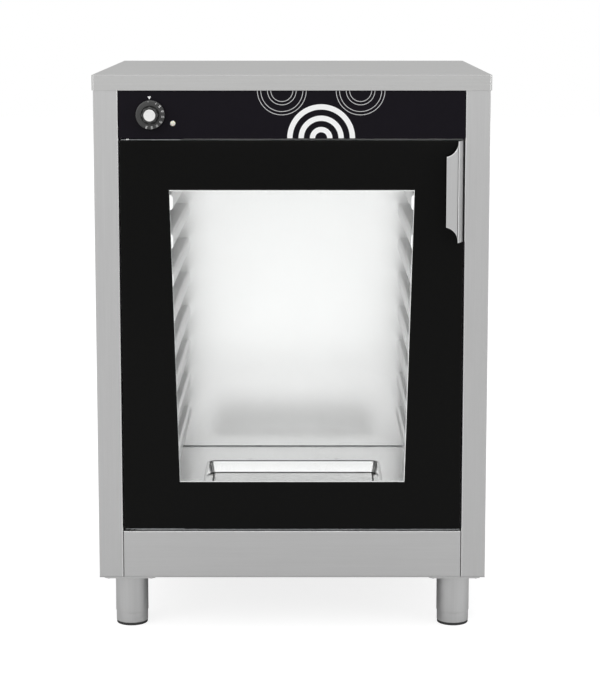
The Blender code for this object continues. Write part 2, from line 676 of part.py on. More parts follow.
def build_heating():
    """The lift-out water basin, the heater under it, and the thermostat's bulb and capillary."""
    lift = make_axis("basin_lift", 0, (BASIN_FRONT + BASIN_BACK) / 2, BASIN_RIM_Z)
    rim_top = BASIN_RIM_Z + BASIN_GAUGE
    well = rim_top - BASIN_DEPTH
    levels = [(BASIN_GAUGE - BASIN_DRAFT, well - BASIN_GAUGE), (BASIN_GAUGE, BASIN_RIM_Z),
              (BASIN_RIM, BASIN_RIM_Z), (BASIN_RIM, rim_top), (0, rim_top), (-BASIN_DRAFT, well)]
    loops = [[Vector((x, at_depth(d), z)) for x, d in basin_outline(margin)] for margin, z in levels]
    add_piece("water_basin", loft(loops), "polished steel", lift, smooth=True)

    half = BASIN_WIDTH / 2 + HEATER_TRAY_MARGIN
    front, back = BASIN_FRONT - HEATER_TRAY_MARGIN, BASIN_BACK + HEATER_TRAY_MARGIN
    rings = []
    for inset, z in ((0, HEATER_TRAY_BOTTOM), (0, HEATER_TRAY_TOP), (LINER_GAUGE, HEATER_TRAY_TOP),
                     (LINER_GAUGE, HEATER_TRAY_BOTTOM + LINER_GAUGE)):
        plan = rounded_rectangle((inset - half, half - inset), (front + inset, back - inset),
                                 2 * BEND_RADIUS - inset)
        rings.append([Vector((x, at_depth(d), z)) for x, d in plan])
    add_piece("heater_tray", loft(rings), "galvanised steel", smooth=True)

    element_z = HEATER_TRAY_BOTTOM + LINER_GAUGE + TOUCH + ELEMENT_RADIUS
    run_half = half - ELEMENT_MARGIN
    spacing = 2 * ELEMENT_BEND
    first = (front + back) / 2 - spacing * (ELEMENT_RUNS - 1) / 2
    points = [(run_half, first)]
    for run in range(ELEMENT_RUNS - 1):
        side = -1 if run % 2 == 0 else 1
        middle = first + spacing * (run + 1 / 2)
        turn = arc((0, 0), ELEMENT_BEND, -90, 90, 2 * CORNER_STEPS)
        points += [(side * (run_half - ELEMENT_BEND + a), middle + b) for a, b in turn]
    points.append((run_half if ELEMENT_RUNS % 2 == 0 else -run_half, first + spacing * (ELEMENT_RUNS - 1)))
    tube_piece("heating_element", [(x, d, element_z) for x, d in points], ELEMENT_RADIUS, "element sheath")

    bulb = [(-BULB_X, BULB_DEPTH, BULB_Z), (BULB_X, BULB_DEPTH, BULB_Z)]
    tube_piece("thermostat_bulb", bulb, BULB_RADIUS, "copper")
    above = SHELF_TOP + 2 * CAPILLARY_RISE
    start = SHELL_GAUGE + THERMOSTAT_DEPTH + 2 * TOUCH
    dive = BULB_DEPTH - CAPILLARY_RISE
    route = [(KNOB_X, start, KNOB_Z), (KNOB_X, start + CAPILLARY_RISE, KNOB_Z),
             (KNOB_X, start + 4 * CAPILLARY_RISE, above), (CAPILLARY_X, dive - 2 * CAPILLARY_RISE, above),
             (CAPILLARY_X, dive, above), (CAPILLARY_X, BULB_DEPTH, above - CAPILLARY_RISE),
             (CAPILLARY_X, BULB_DEPTH, SHELF_TOP), (CAPILLARY_X, BULB_DEPTH, CEILING_UNDER),
             (CAPILLARY_X + CAPILLARY_RISE / 3, BULB_DEPTH, BULB_Z),
             (-BULB_X - CAPILLARY_RADIUS - TOUCH, BULB_DEPTH, BULB_Z)]
    tube_piece("capillary_tube", smooth_route(route, 2 * CORNER_STEPS), CAPILLARY_RADIUS, "copper")


def build_controls():
    """The thermostat and its knob, the pilot lamp, the terminal block and the mains gland."""
    turn = make_axis("knob_axis", KNOB_X, 0, KNOB_Z)
    front = SHELL_GAUGE + TOUCH
    half, tall = THERMOSTAT_WIDTH / 2, THERMOSTAT_HEIGHT / 2
    bore = SHAFT_RADIUS + RUNNING
    square = [(-half, -tall), (half, -tall), (half, tall), (-half, tall)]
    outline = [(KNOB_X + x, KNOB_Z + z) for x, z in square]
    case = front_prism(outline, (front, front + THERMOSTAT_DEPTH))
    body = add_piece("thermostat_body", case, "black plastic")
    cut(body, rod((KNOB_X, KNOB_Z), bore, (-OVERRUN, SHAFT_IN_BODY + TOUCH), "Y"), "shaft_bore")

    dial_back = -DIAL_CLEARANCE
    dial_front = dial_back - DIAL_THICKNESS
    hub_front = dial_front - TOUCH - HUB_HEIGHT
    eye = SHAFT_RADIUS + TOUCH
    profile = [(eye, dial_back), (DIAL_RADIUS, dial_back), (DIAL_RADIUS, dial_front + DIAL_CHAMFER),
               (DIAL_RADIUS - DIAL_CHAMFER, dial_front), (eye, dial_front)]
    add_piece("knob_dial", turned(profile, (KNOB_X, KNOB_Z), "Y"), "black plastic", turn, smooth=True)
    hub_seat = hub_front + HUB_HEIGHT / 2
    rings = [(0, eye, hub_seat), (0, eye, dial_front - TOUCH), (1, HUB_RADIUS, dial_front - TOUCH),
             (1, HUB_RADIUS, hub_front)]
    loops = []
    for lobed, radius, depth in rings:
        loop = []
        for i in range(HUB_LOBES * 2 * CORNER_STEPS):
            angle = pi * i / (HUB_LOBES * CORNER_STEPS)
            reach = radius + lobed * HUB_LOBE * (cos(HUB_LOBES * angle) - 1) / 2
            loop.append((KNOB_X + reach * cos(angle), KNOB_Z + reach * sin(angle)))
        loops.append(face_loop(loop, depth))
    add_piece("knob_hub", loft(loops), "black plastic", turn, smooth=True)
    reach = (hub_front - TOUCH - CAP_THICKNESS, hub_front - TOUCH)
    cap = rod((KNOB_X, KNOB_Z), CAP_RADIUS, reach, "Y", ROUND_STEPS)
    add_piece("knob_cap", cap, "white plastic", turn, smooth=True)
    shaft = rod((KNOB_X, KNOB_Z), SHAFT_RADIUS, (hub_seat + TOUCH, SHAFT_IN_BODY), "Y")
    add_piece("thermostat_shaft", shaft, "polished steel", turn, smooth=True)

    neck = front + SHELL_GAUGE
    profile = [(0, -LAMP_PROUD), (LAMP_RADIUS / 2, -LAMP_PROUD), (LAMP_RADIUS, -LAMP_PROUD / 2),
               (LAMP_RADIUS, -TOUCH), (LAMP_NECK, -TOUCH), (LAMP_NECK, neck), (0, neck)]
    lens = turned(profile, (LAMP_X, LAMP_Z), "Y", PIN_STEPS)
    add_piece("pilot_lamp_lens", lens, "lamp lens", smooth=True)
    lamp = rod((LAMP_X, LAMP_Z), LAMP_BODY_RADIUS, (neck + TOUCH, neck + TOUCH + LAMP_BODY_LENGTH), "Y")
    add_piece("pilot_lamp_body", lamp, "white plastic", smooth=True)

    block_x = (GLAND_X - BLOCK_LENGTH - GLAND_NUT - GLAND_COLLAR, GLAND_X - GLAND_NUT - GLAND_COLLAR)
    block_depth = (INSIDE_BACK - TOUCH - BLOCK_DEPTH, INSIDE_BACK - TOUCH)
    block_z = (SHELF_TOP + TOUCH, SHELF_TOP + TOUCH + BLOCK_HEIGHT)
    terminal = add_piece("terminal_block", block(block_x, block_depth, block_z), "white plastic")
    ways = bmesh.new()
    for i in range(BLOCK_WAYS):
        x = block_x[0] + BLOCK_LENGTH * (i + 1 / 2) / BLOCK_WAYS
        well = BLOCK_WAY_RADIUS
        block((x - well, x + well), (sum(block_depth) / 2 - well, sum(block_depth) / 2 + well),
              (block_z[1] - BLOCK_WAY_DEPTH, block_z[1] + OVERRUN), ways)
    cut(terminal, ways, "terminal_wells")

    near, far = INSIDE_BACK, PANEL_BACK + TOUCH
    shoulder = far + GLAND_COLLAR
    tip = PANEL_BACK + GLAND_OUT
    profile = [(GLAND_BORE, near - GLAND_IN), (GLAND_THREAD, near - GLAND_IN), (GLAND_THREAD, far),
               (GLAND_NUT, far), (GLAND_NUT, shoulder), (GLAND_NUT - BEND_RADIUS, shoulder),
               (GLAND_THREAD, tip), (GLAND_BORE, tip)]
    add_piece("mains_gland", turned(profile, (GLAND_X, GLAND_Z), "Y"), "black plastic", smooth=True)


def build_door():
    """The glass door with its steel pan, inner glass, seal and handle, all on the hinge axis."""
    axis = make_axis("door_axis", AXIS_X, AXIS_DEPTH, DOOR_BOTTOM)
    height = (DOOR_BOTTOM, DOOR_TOP)
    flange_x = (PAN_HALF + TOUCH, PAN_HALF + TOUCH + HANDLE_GAUGE)
    notch = PAN_HALF
    handle_z = (DOOR_TOP - HANDLE_LENGTH, DOOR_TOP)
    outline = [(-DOOR_HALF, height[0]), (DOOR_HALF, height[0]), (DOOR_HALF, handle_z[0] - TOUCH),
               (notch, handle_z[0] - TOUCH), (notch, height[1]), (-DOOR_HALF, height[1])]
    smaller = [(-DOOR_HALF + GLASS_CHAMFER, height[0] + GLASS_CHAMFER),
               (DOOR_HALF - GLASS_CHAMFER, height[0] + GLASS_CHAMFER),
               (DOOR_HALF - GLASS_CHAMFER, handle_z[0] - TOUCH - GLASS_CHAMFER),
               (notch - GLASS_CHAMFER, handle_z[0] - TOUCH - GLASS_CHAMFER),
               (notch - GLASS_CHAMFER, height[1] - GLASS_CHAMFER),
               (-DOOR_HALF + GLASS_CHAMFER, height[1] - GLASS_CHAMFER)]
    loops = [face_loop(smaller, 0), face_loop(outline, GLASS_CHAMFER), face_loop(outline, GLASS_THICKNESS)]
    add_piece("door_glass", loft(loops), "clear glass", axis)

    pan_z = (DOOR_BOTTOM + PAN_INSET, DOOR_TOP - PAN_INSET)
    pan_outer = rectangle(PAN_HALF, pan_z)
    window_z = (WINDOW_BOTTOM, WINDOW_TOP)
    top_half, bottom_half = DOOR_HALF - WINDOW_SIDE_TOP, DOOR_HALF - WINDOW_SIDE_BOTTOM
    window = trapezoid(top_half, bottom_half, window_z)
    film = (GLASS_THICKNESS + TOUCH, BORDER_BACK)
    border = [(pan_outer, film[0]), (window, film[0]), (window, film[1]), (pan_outer, film[1])]
    add_piece("door_border", loft([face_loop(*row) for row in border], ring=True), "black enamel", axis)

    aperture_z = (WINDOW_BOTTOM - APERTURE_MARGIN, WINDOW_TOP + APERTURE_MARGIN)
    aperture = trapezoid(top_half + APERTURE_MARGIN, bottom_half + APERTURE_MARGIN, aperture_z)
    pan_inner = rectangle(PAN_HALF - SHELL_GAUGE, (pan_z[0] + SHELL_GAUGE, pan_z[1] - SHELL_GAUGE))
    web = PAN_DEPTH - SHELL_GAUGE
    rows = [(pan_outer, PAN_FRONT), (pan_outer, PAN_DEPTH), (aperture, PAN_DEPTH), (aperture, web),
            (pan_inner, web), (pan_inner, PAN_FRONT)]
    add_piece("door_pan", loft([face_loop(*row) for row in rows], ring=True), "chamber steel", axis)

    pane_half = top_half + APERTURE_MARGIN + INNER_GLASS_LAP
    pane_z = (aperture_z[0] - INNER_GLASS_LAP, aperture_z[1] + INNER_GLASS_LAP)
    pane_depth = (web - TOUCH - GLASS_THICKNESS, web - TOUCH)
    add_piece("door_inner_glass", block((-pane_half, pane_half), pane_depth, pane_z), "clear glass", axis)
    grown = TOUCH + SHELL_GAUGE
    clamp_outer = rectangle(pane_half + grown, (pane_z[0] - grown, pane_z[1] + grown))
    clamp_seat = rectangle(pane_half + TOUCH, (pane_z[0] - TOUCH, pane_z[1] + TOUCH))
    clamp_eye = rectangle(pane_half - CLAMP_LAP, (pane_z[0] + CLAMP_LAP, pane_z[1] - CLAMP_LAP))
    face = pane_depth[0] - TOUCH
    rows = [(clamp_outer, web - TOUCH), (clamp_outer, face - SHELL_GAUGE), (clamp_eye, face - SHELL_GAUGE),
            (clamp_eye, face), (clamp_seat, face), (clamp_seat, web - TOUCH)]
    clamp = loft([face_loop(*row) for row in rows], ring=True)
    add_piece("inner_glass_clamp", clamp, "galvanised steel", axis)

    inner = rectangle(MOUTH_HALF + GASKET_LAND, (MOUTH_BOTTOM - GASKET_LAND, MOUTH_TOP + GASKET_LAND))
    reach = GASKET_LAND + GASKET_WIDTH
    outer = rectangle(MOUTH_HALF + reach, (MOUTH_BOTTOM - reach, MOUTH_TOP + reach))
    seal = (PAN_DEPTH + TOUCH, REBATE_DEPTH - TOUCH)
    rows = [(outer, seal[0]), (inner, seal[0]), (inner, seal[1]), (outer, seal[1])]
    add_piece("door_gasket", loft([face_loop(*row) for row in rows], ring=True), "black rubber", axis)

    wing_x = flange_x[1] - HANDLE_SLOPE
    path = [(flange_x[1], HANDLE_FLANGE), (flange_x[1], 0), (wing_x, -HANDLE_PROUD),
            (wing_x - HANDLE_WING, -HANDLE_PROUD)]
    outline = folded(path[::-1], HANDLE_GAUGE)
    handle = add_piece("door_handle", plan_prism(outline, handle_z), "case steel", axis, smooth=True)
    scallop_x = wing_x - HANDLE_WING - SCALLOP_SIDE
    reach = (-HANDLE_PROUD - OVERRUN, -HANDLE_PROUD + OVERRUN)
    low, high = handle_z[0] + SCALLOP_INSET, handle_z[1] - SCALLOP_INSET
    for name, z in (("scallop_low", low), ("scallop_high", high)):
        cut(handle, rod((scallop_x, z), HANDLE_SCALLOP, reach, "Y", 2 * ROUND_STEPS), name)
    build_hinges(axis)


def build_hinges(axis):
    """Pins on the door, at its top and bottom, that turn in brackets behind the panel and in the plinth."""
    plate_x = (TOUCH - PAN_HALF, HINGE_PLATE_LENGTH - PAN_HALF)
    plate_depth = (HINGE_PLATE_SETBACK, HINGE_PLATE_SETBACK + HINGE_PLATE_DEPTH)
    bracket_x = (AXIS_X - BRACKET_LENGTH / 4, AXIS_X + 3 * BRACKET_LENGTH / 4)
    bracket_depth = (SHELL_GAUGE + TOUCH, SHELL_GAUGE + TOUCH + HINGE_PLATE_DEPTH)
    centre = (AXIS_X, AXIS_DEPTH)
    ends = (("top", 1, DOOR_TOP, PANEL_BOTTOM), ("bottom", -1, DOOR_BOTTOM, PLINTH_TOP))
    for end, way, door_edge, case_edge in ends:
        near = door_edge + way * TOUCH
        far = near + way * HINGE_PLATE_GAUGE
        sheet = block(plate_x, plate_depth, sorted((near, far)))
        plate = add_piece(f"hinge_plate_{end}", sheet, "case steel", axis)
        through = sorted((near - way * OVERRUN, far + way * OVERRUN))
        cut(plate, rod(centre, COLLAR_RADIUS + TOUCH, through, "Z"), f"collar_notch_{end}")
        seat = case_edge + way * (SHELL_GAUGE + TOUCH)
        bar = block(bracket_x, bracket_depth, sorted((seat, seat + way * BRACKET_THICKNESS)))
        bracket = add_piece(f"hinge_bracket_{end}", bar, "galvanised steel")
        through = sorted((case_edge, seat + way * (BRACKET_THICKNESS + OVERRUN)))
        cut(bracket, rod(centre, PIN_RADIUS + RUNNING, through, "Z"), f"pin_bore_{end}")
        shoulder = far + way * TOUCH
        tip = case_edge + way * PIN_REACH
        profile = [(0, near), (COLLAR_RADIUS, near), (COLLAR_RADIUS, shoulder), (PIN_RADIUS, shoulder),
                   (PIN_RADIUS, tip), (0, tip)]
        pin = turned(profile, centre, "Z", PIN_STEPS)
        add_piece(f"hinge_pin_{end}", pin, "polished steel", axis, smooth=True)
    washer = (PLINTH_TOP + TOUCH, DOOR_BOTTOM - HINGE_PLATE_GAUGE - 3 * TOUCH)
    eye = PIN_RADIUS + RUNNING
    profile = [(eye, washer[0]), (WASHER_RADIUS, washer[0]), (WASHER_RADIUS, washer[1]), (eye, washer[1])]
    add_piece("hinge_washer", turned(profile, centre, "Z", PIN_STEPS), "white plastic", smooth=True)

    seal_edge = MOUTH_HALF + GASKET_LAND + GASKET_WIDTH
    magnet_x = (seal_edge + MAGNET_SIDE, seal_edge + MAGNET_SIDE + MAGNET_WIDTH)
    magnet_depth = (PAN_DEPTH + MAGNET_PULL_GAP, REBATE_DEPTH - TOUCH)
    middle = (DOOR_BOTTOM + DOOR_TOP) / 2
    magnet = block(magnet_x, magnet_depth, (middle - MAGNET_HEIGHT / 2, middle + MAGNET_HEIGHT / 2))
    add_piece("door_magnet", magnet, "black plastic")


def build_legs():
    """Four round legs, each with a screw foot that turns out of its end."""
    side_x = CASE_HALF - LEG_SIDE
    rear = CASE_DEPTH - LEG_INSET
    places = (("front_left", -side_x, LEG_INSET), ("front_right", side_x, LEG_INSET),
              ("rear_left", -side_x, rear), ("rear_right", side_x, rear))
    top = LEG_HEIGHT - TOUCH
    eye = STEM_RADIUS + TOUCH
    wall = TUBE_RADIUS - TUBE_WALL
    for name, x, depth in places:
        profile = [(eye, TUBE_BOTTOM), (TUBE_RADIUS, TUBE_BOTTOM), (TUBE_RADIUS, top), (0, top),
                   (0, top - TUBE_FLOOR), (wall, top - TUBE_FLOOR), (wall, TUBE_BOTTOM + TUBE_FLOOR),
                   (eye, TUBE_BOTTOM + TUBE_FLOOR)]
        add_piece(f"leg_tube_{name}", turned(profile, (x, depth), "Z"), "case steel", smooth=True)
        screw = make_axis(f"foot_screw_{name}", x, depth, 0)
        stem_top = FOOT_HEIGHT + STEM_LENGTH
        profile = [(0, 0), (FOOT_RADIUS - FOOT_EDGE, 0), (FOOT_RADIUS, FOOT_EDGE),
                   (FOOT_RADIUS, FOOT_HEIGHT), (STEM_RADIUS, FOOT_HEIGHT), (STEM_RADIUS, stem_top),
                   (0, stem_top)]
        add_piece(f"leg_foot_{name}", turned(profile, (x, depth), "Z"), "case steel", screw, smooth=True)


clear_scene()
build_worktop()
build_case()
build_chamber()
build_racks()
build_heating()
build_controls()
build_door()
build_legs()
bpy.context.view_layer.update()
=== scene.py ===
"""Finished surfaces of a proofing cabinet, built round its fixed frame. X is right, Z is up, the door faces -Y."""

import json
from math import atan2, cos, pi, radians, sin

import bmesh
import bpy
from bmesh.types import BMFace
from bpy.props import FloatProperty, FloatVectorProperty, IntProperty, PointerProperty
from bpy.types import Operator, Panel, PropertyGroup
from mathutils import Matrix, Vector
from mathutils.geometry import tessellate_polygon


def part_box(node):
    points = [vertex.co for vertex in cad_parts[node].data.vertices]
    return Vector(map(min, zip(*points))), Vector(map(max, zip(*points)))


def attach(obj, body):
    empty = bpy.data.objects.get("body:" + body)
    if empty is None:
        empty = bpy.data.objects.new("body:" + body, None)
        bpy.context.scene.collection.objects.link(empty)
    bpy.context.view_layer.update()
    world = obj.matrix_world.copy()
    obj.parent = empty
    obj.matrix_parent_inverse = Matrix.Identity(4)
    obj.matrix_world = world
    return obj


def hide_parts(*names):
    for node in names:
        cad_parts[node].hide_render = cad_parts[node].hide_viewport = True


bl_info = {
    "name": "Proofing Cabinet",
    "version": (1, 0, 0),
    "blender": (4, 5, 0),
    "location": "View3D > Sidebar > Cabinet",
    "description": "Builds the finished surfaces of a proofing cabinet round its fixed frame",
    "category": "Add Mesh",
}

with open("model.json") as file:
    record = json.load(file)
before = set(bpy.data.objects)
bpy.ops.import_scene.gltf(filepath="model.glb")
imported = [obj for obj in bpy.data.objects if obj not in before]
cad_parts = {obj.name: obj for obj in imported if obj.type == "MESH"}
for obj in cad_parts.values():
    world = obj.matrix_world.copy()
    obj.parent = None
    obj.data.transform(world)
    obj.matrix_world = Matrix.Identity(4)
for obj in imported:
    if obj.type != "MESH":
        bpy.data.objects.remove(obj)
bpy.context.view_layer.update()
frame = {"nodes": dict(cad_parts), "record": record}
BODY_OF = {node: body for body, nodes in frame["record"]["behaviour"]["bodies"].items() for node in nodes}
CORNERS = ("front_left", "front_right", "rear_left", "rear_right")

MM = 0.001
WELD = 0.01 * MM  # points nearer than this are one
HAIR = 0.1 * MM  # space that keeps two surfaces apart
SOLID_FOLD = 2 * MM  # outer radius of a folded sheet in the solids
SILL_BACK, SILL_DEPTH = 7 * MM, 6 * MM  # from the plinth's front, and front to back
FOLD_AREA = 2500 * MM * MM  # a face larger than this is broad
FLAT_ANGLE = radians(0.5)
EDGE_ANGLE = radians(30)
FOLD_ANGLE = radians(10)
SMOOTH_ANGLE = radians(35)

# Points round a curve
ROUND_STEPS = 64
DIAL_STEPS = 96
HUB_STEPS = 120
SCREW_STEPS = 24
CORNER_STEPS = 8
DISH_STEPS = 8

# Proportions and places, angles in degrees
REAR_SCREWS = 7  # on each side
HANDLE_SCREWS = (0.2, 0.8)  # parts of the handle's height
HANDLE_INSET = 0.6  # part of the other screws' inset
SOCKET, SUNK, SKIRT = 0.45, 0.4, 0.35  # parts of a screw's radius, height and height
LENS_SIZES = (0.88, 0.66)  # outside and inside the panel, parts of the lamp's radius
LENS_RIM = 0.3  # like the ring's tops, part of how far the lens stands out
RING_TOPS = (0.25, 0.35)  # outside and inside
FIRST_TURN, NUMBER_TURN = 49.5, 24.7  # clockwise from the dial's top
TICKS = ((97.5, 0.5), (62, 1.2))  # angle from the right, and length as a part of a tick's
TICK_WIDTH = 0.24  # part of a tick's length
DIGIT_SPACE = 1.1
POINTER_HEIGHT = 0.82  # part of the pointer's width
LINE_SIDES = (0.1, 0.4, 0.45, 1.0)  # parts of the window line's width at the left, right, foot and head
WALL_LEAN = 8
STEM, STEM_HOLE = 0.2, 0.22  # parts of a foot's radius

# Lamps: name, place, and width and height. All look at the heart.
HEART = (0, 0, 0.45)
LAMPS = (
    ("key", (-2.6, -2.4, 2.0), (1.8, 1.8)),
    ("rim", (2.6, -1.6, 1.0), (0.5, 1.8)),
    ("top", (0, -0.6, 2.6), (1.6, 1.6)),
)

# Brushed steel
BRUSHING = 3500
ALONG = {"X": (0.02, 1.0, 1.0), "Y": (1.0, 0.02, 1.0), "Z": (1.0, 1.0, 0.02)}


def length(name, description, default):
    return FloatProperty(name=name, description=description, default=default, min=0.0, unit="LENGTH", precision=5)


def colour(name, description, default):
    return FloatVectorProperty(name=name, description=description, default=default, subtype="COLOR", min=0, max=1)


def share(name, description, default):
    return FloatProperty(name=name, description=description, default=default, min=0.0, max=1.0, subtype="FACTOR")


class CabinetFinishes(PropertyGroup):
    """Colours and gloss of the cabinet's surfaces."""

    worktop_steel: colour("Worktop Steel", "Brushed steel of the worktop", (0.57, 0.57, 0.565))
    case_steel: colour("Cabinet Steel", "Brushed steel of the case, plinth, handle and legs", (0.585, 0.585, 0.585))
    chamber_steel: colour("Chamber Steel", "Bright steel of the chamber, racks and door pan", (0.86, 0.86, 0.86))
    galvanised_steel: colour("Galvanised Steel", "Zinc coated steel of inner parts and the sill", (0.42, 0.43, 0.44))
    # The fold faces that wear this bright steel are a painted highlight on the posts' inner edges and the handle's
    # chamfer; the pins, screws and thin trim are polished steel.
    polished_steel: colour("Polished Steel", "Bright steel of the folds, pins, screws and thin trim", (0.8, 0.8, 0.8))
    basin_steel: colour("Basin Steel", "Bright steel of the water basin", (0.9, 0.9, 0.9))
    # Painted shade: the grey laid over the basin's faces that look up, which darkens its floor.
    basin_floor_shade: colour("Basin Floor Shade", "Grey that water leaves on the basin's floor", (0.46, 0.46, 0.46))
    copper: colour("Copper", "Bare copper of the bulb and its tube", (0.6, 0.28, 0.16))
    black_panel: colour("Black Panel", "Satin black of the control panel", (0.0065, 0.0052, 0.0085))
    black_print: colour("Black Print", "Black enamel on the door's glass", (0.0052, 0.0052, 0.005))
    glass: colour("Glass", "Tint of the clear glass", (0.995, 0.998, 0.996))
    # This black is also the painted shade of the strip on the basin's rear rim.
    rubber: colour("Rubber", "Black rubber of the seal and foot pads", (0.035, 0.035, 0.035))
    black_plastic: colour("Black Plastic", "Moulded plastic of the gland, magnet and lamp ring", (0.032, 0.032, 0.032))
    dial_plastic: colour("Dial Plastic", "Moulded plastic of the knob's dial and hub", (0.052, 0.052, 0.052))
    white_plastic: colour("White Plastic", "Moulded plastic of the knob's cap and the terminals", (0.88, 0.88, 0.87))
    lamp_lens: colour("Lamp Lens", "Warm white of the pilot lamp", (0.9, 0.86, 0.74))
    mineral_wool: colour("Mineral Wool", "Yellow brown of the insulation", (0.52, 0.43, 0.24))
    white_ink: colour("White Ink", "White of the panel's print", (0.97, 0.97, 0.97))
    grey_ink: colour("Grey Ink", "Grey of the panel's fine lines", (0.66, 0.66, 0.66))
    steel_roughness: share("Steel Roughness", "Roughness of the case's steel", 0.34)
    worktop_edge: share("Worktop Edge", "Brightness of the worktop where it is seen at a low angle", 0.5)
    rack_roughness: share("Rack Roughness", "Roughness of the tray racks", 0.34)
    rack_edge: share("Rack Edge", "Brightness of the racks where they are seen at a low angle", 0.85)
    chamber_roughness: share("Chamber Roughness", "Roughness of the chamber's steel", 0.24)


class CabinetEdges(PropertyGroup):
    """Rounding of the folded, cut and moulded edges."""

    lip: length("Lip", "Rounding of the worktop's outer folds", 0.3 * MM)
    fold: length("Fold", "Rounding of the case's folds", 1 * MM)
    handle: length("Handle", "Width of the chamfer round the handle's front", 1.0 * MM)
    sheet: length("Sheet", "Rounding of a sheet's cut edge", 0.3 * MM)
    bar: length("Bar", "Rounding of the edges of thick parts", 0.6 * MM)
    seal: length("Seal", "Rounding of the door seal", 2 * MM)
    wool: length("Wool", "Rounding of the insulation slabs", 3 * MM)
    rack_fold: length("Rack Fold", "Rounding of the pressed ledges", 5 * MM)
    joint: length("Joint", "Space at the plinth's ends, over the sill and behind the racks", 0.5 * MM)


class CabinetPrint(PropertyGroup):
    """The printed design and marks on the control panel and the dial."""

    middle: FloatProperty(name="Middle", description="X of the design's middle", default=44 * MM, unit="LENGTH")
    arch_radius: length("Arch Radius", "Outer radius of the large white arch", 51 * MM)
    arch_band: length("Arch Band", "Width of the white bands", 8 * MM)
    arch_step: length("Arch Step", "Radius lost from one white arch to the next", 17 * MM)
    line_radius: length("Line Radius", "Outer radius of the hanging grey arches", 37 * MM)
    line_width: length("Line Width", "Width of the grey lines", 0.9 * MM)
    line_gap: length("Line Gap", "Space between the two grey lines of an arch", 5 * MM)
    line_step: length("Line Step", "Radius lost from one grey arch to the next", 15 * MM)
    side_step: length("Side Step", "Distance of the grey arches from the middle", 59 * MM)
    ink: length("Ink", "Thickness of the ink", 0.06 * MM)
    digit: length("Digit", "Size of the dial's digits", 4.1 * MM)
    pointer: length("Pointer", "Width of the triangle over the dial", 5.4 * MM)
    pointer_left: length("Pointer Left", "Distance of the triangle's tip left of the dial's middle", 1.5 * MM)
    pointer_rise: length("Pointer Rise", "Space between the dial and the triangle", 1.0 * MM)
    first_number: IntProperty(name="First Number", description="First number on the dial", default=30)
    number_step: IntProperty(name="Number Step", description="Step between the dial's numbers", default=10)
    numbers: IntProperty(name="Numbers", description="Count of numbers on the dial", default=7, min=2, max=12)


class CabinetDetails(PropertyGroup):
    """Small shapes on the worktop, knob, chamber, basin, legs, window and screws."""

    worktop_gauge: length("Worktop Gauge", "Thickness of the worktop's sheet", 1.5 * MM)
    worktop_corner: length("Worktop Corner", "Corner radius of the worktop's plan", 4 * MM)
    lobe: length("Lobe", "Depth of the grooves round the knob's hub", 1.5 * MM)
    lobes: IntProperty(name="Lobes", description="Count of lobes round the hub", default=8, min=3, max=12)
    knob_edge: length("Knob Edge", "Rounding of the knob's edges", 1 * MM)
    cap_groove: length("Cap Groove", "Width of the groove round the knob's cap", 1.1 * MM)
    tick: length("Tick", "Length of a tick on the dial", 2.2 * MM)
    basin_rim: length("Basin Rim", "Width of the basin's flat rim", 5 * MM)
    basin_gauge: length("Basin Gauge", "Thickness of the basin's steel", 0.8 * MM)
    basin_draft: length("Basin Draft", "Lean of the basin's walls", 4 * MM)
    basin_corner: length("Basin Corner", "Corner radius of the basin's plan", 12 * MM)
    basin_fillet: length("Basin Fillet", "Rounding of the basin's foot", 2.5 * MM)
    pad: length("Pad", "Height of the rubber pad under each foot", 4 * MM)
    foot_edge: length("Foot Edge", "Rounding of the pad's lower edge", 0.8 * MM)
    leg_edge: length("Leg Edge", "Rounding at the end of the leg's tube", 1 * MM)
    leg_plate: length("Leg Plate", "Width of the plate that holds a leg", 80 * MM)
    plate_gauge: length("Plate Gauge", "Thickness of the legs' plates", 4 * MM)
    seam: length("Seam", "Height of the seam at the foot of the chamber's back", 1.7 * MM)
    screw_head: length("Screw Head", "Radius of a screw's head", 3.5 * MM)
    screw_height: length("Screw Height", "Height of a screw's head", 2 * MM)
    small_screw: length("Small Screw", "Radius of the chamber's screw heads", 2.2 * MM)
    screw_inset: length("Screw Inset", "Distance of the rear screws from the case's side", 13 * MM)
    window_line: length("Window Line", "Width of the light line along the window's top", 1.8 * MM)
    # Painted shade: the dark strip on the basin's rear rim stands for the shaded line there.
    basin_bead: length("Basin Shade Strip", "Height of the dark bead on the basin's rear edge", 1.1 * MM)


class CabinetStage(PropertyGroup):
    """The camera, the floor and the light."""

    eye: FloatVectorProperty(
        name="Eye", description="Place of the camera", default=(0.0172, -3.3623, 0.9952), subtype="TRANSLATION")
    tilt: FloatProperty(
        name="Tilt", description="How far the camera looks down", default=radians(8.13), subtype="ANGLE")
    lens: FloatProperty(name="Lens", description="Focal length in millimetres", default=109.42)
    shift_x: FloatProperty(name="Shift X", description="Sideways shift of the lens", default=-0.0049)
    shift_y: FloatProperty(name="Shift Y", description="Upright shift of the lens", default=-0.09)
    room: length("Room", "Width of the floor", 24.0)
    floor_colour: share("Floor Colour", "Grey of the floor in the light", 0.3)
    floor_glow: share("Floor Glow", "White that the floor adds for the eye", 0.8)
    floor_glass: share("Floor Through Glass", "White that the floor adds behind glass", 0.58)
    floor_gloss: share("Floor Gloss", "Grey of the floor as gloss shows it", 0.62)
    fill: share("Fill", "Light from all round on matt surfaces", 0.9)
    head_glow: share("Head Glow", "Brightness of the strip over the chamber's mouth", 0.8)
    foot_glow: share("Foot Glow", "Brightness of the strip under the chamber's mouth", 0.95)
    side_glow: share("Side Glow", "Brightness of the strips beside the chamber's mouth", 0.95)
    key_power: FloatProperty(name="Key Power", description="Watts of the large lamp at the left", default=32.0)
    rim_power: FloatProperty(name="Rim Power", description="Watts of the strip lamp at the right", default=9.0)
    top_power: FloatProperty(name="Top Power", description="Watts of the lamp overhead", default=10.0)


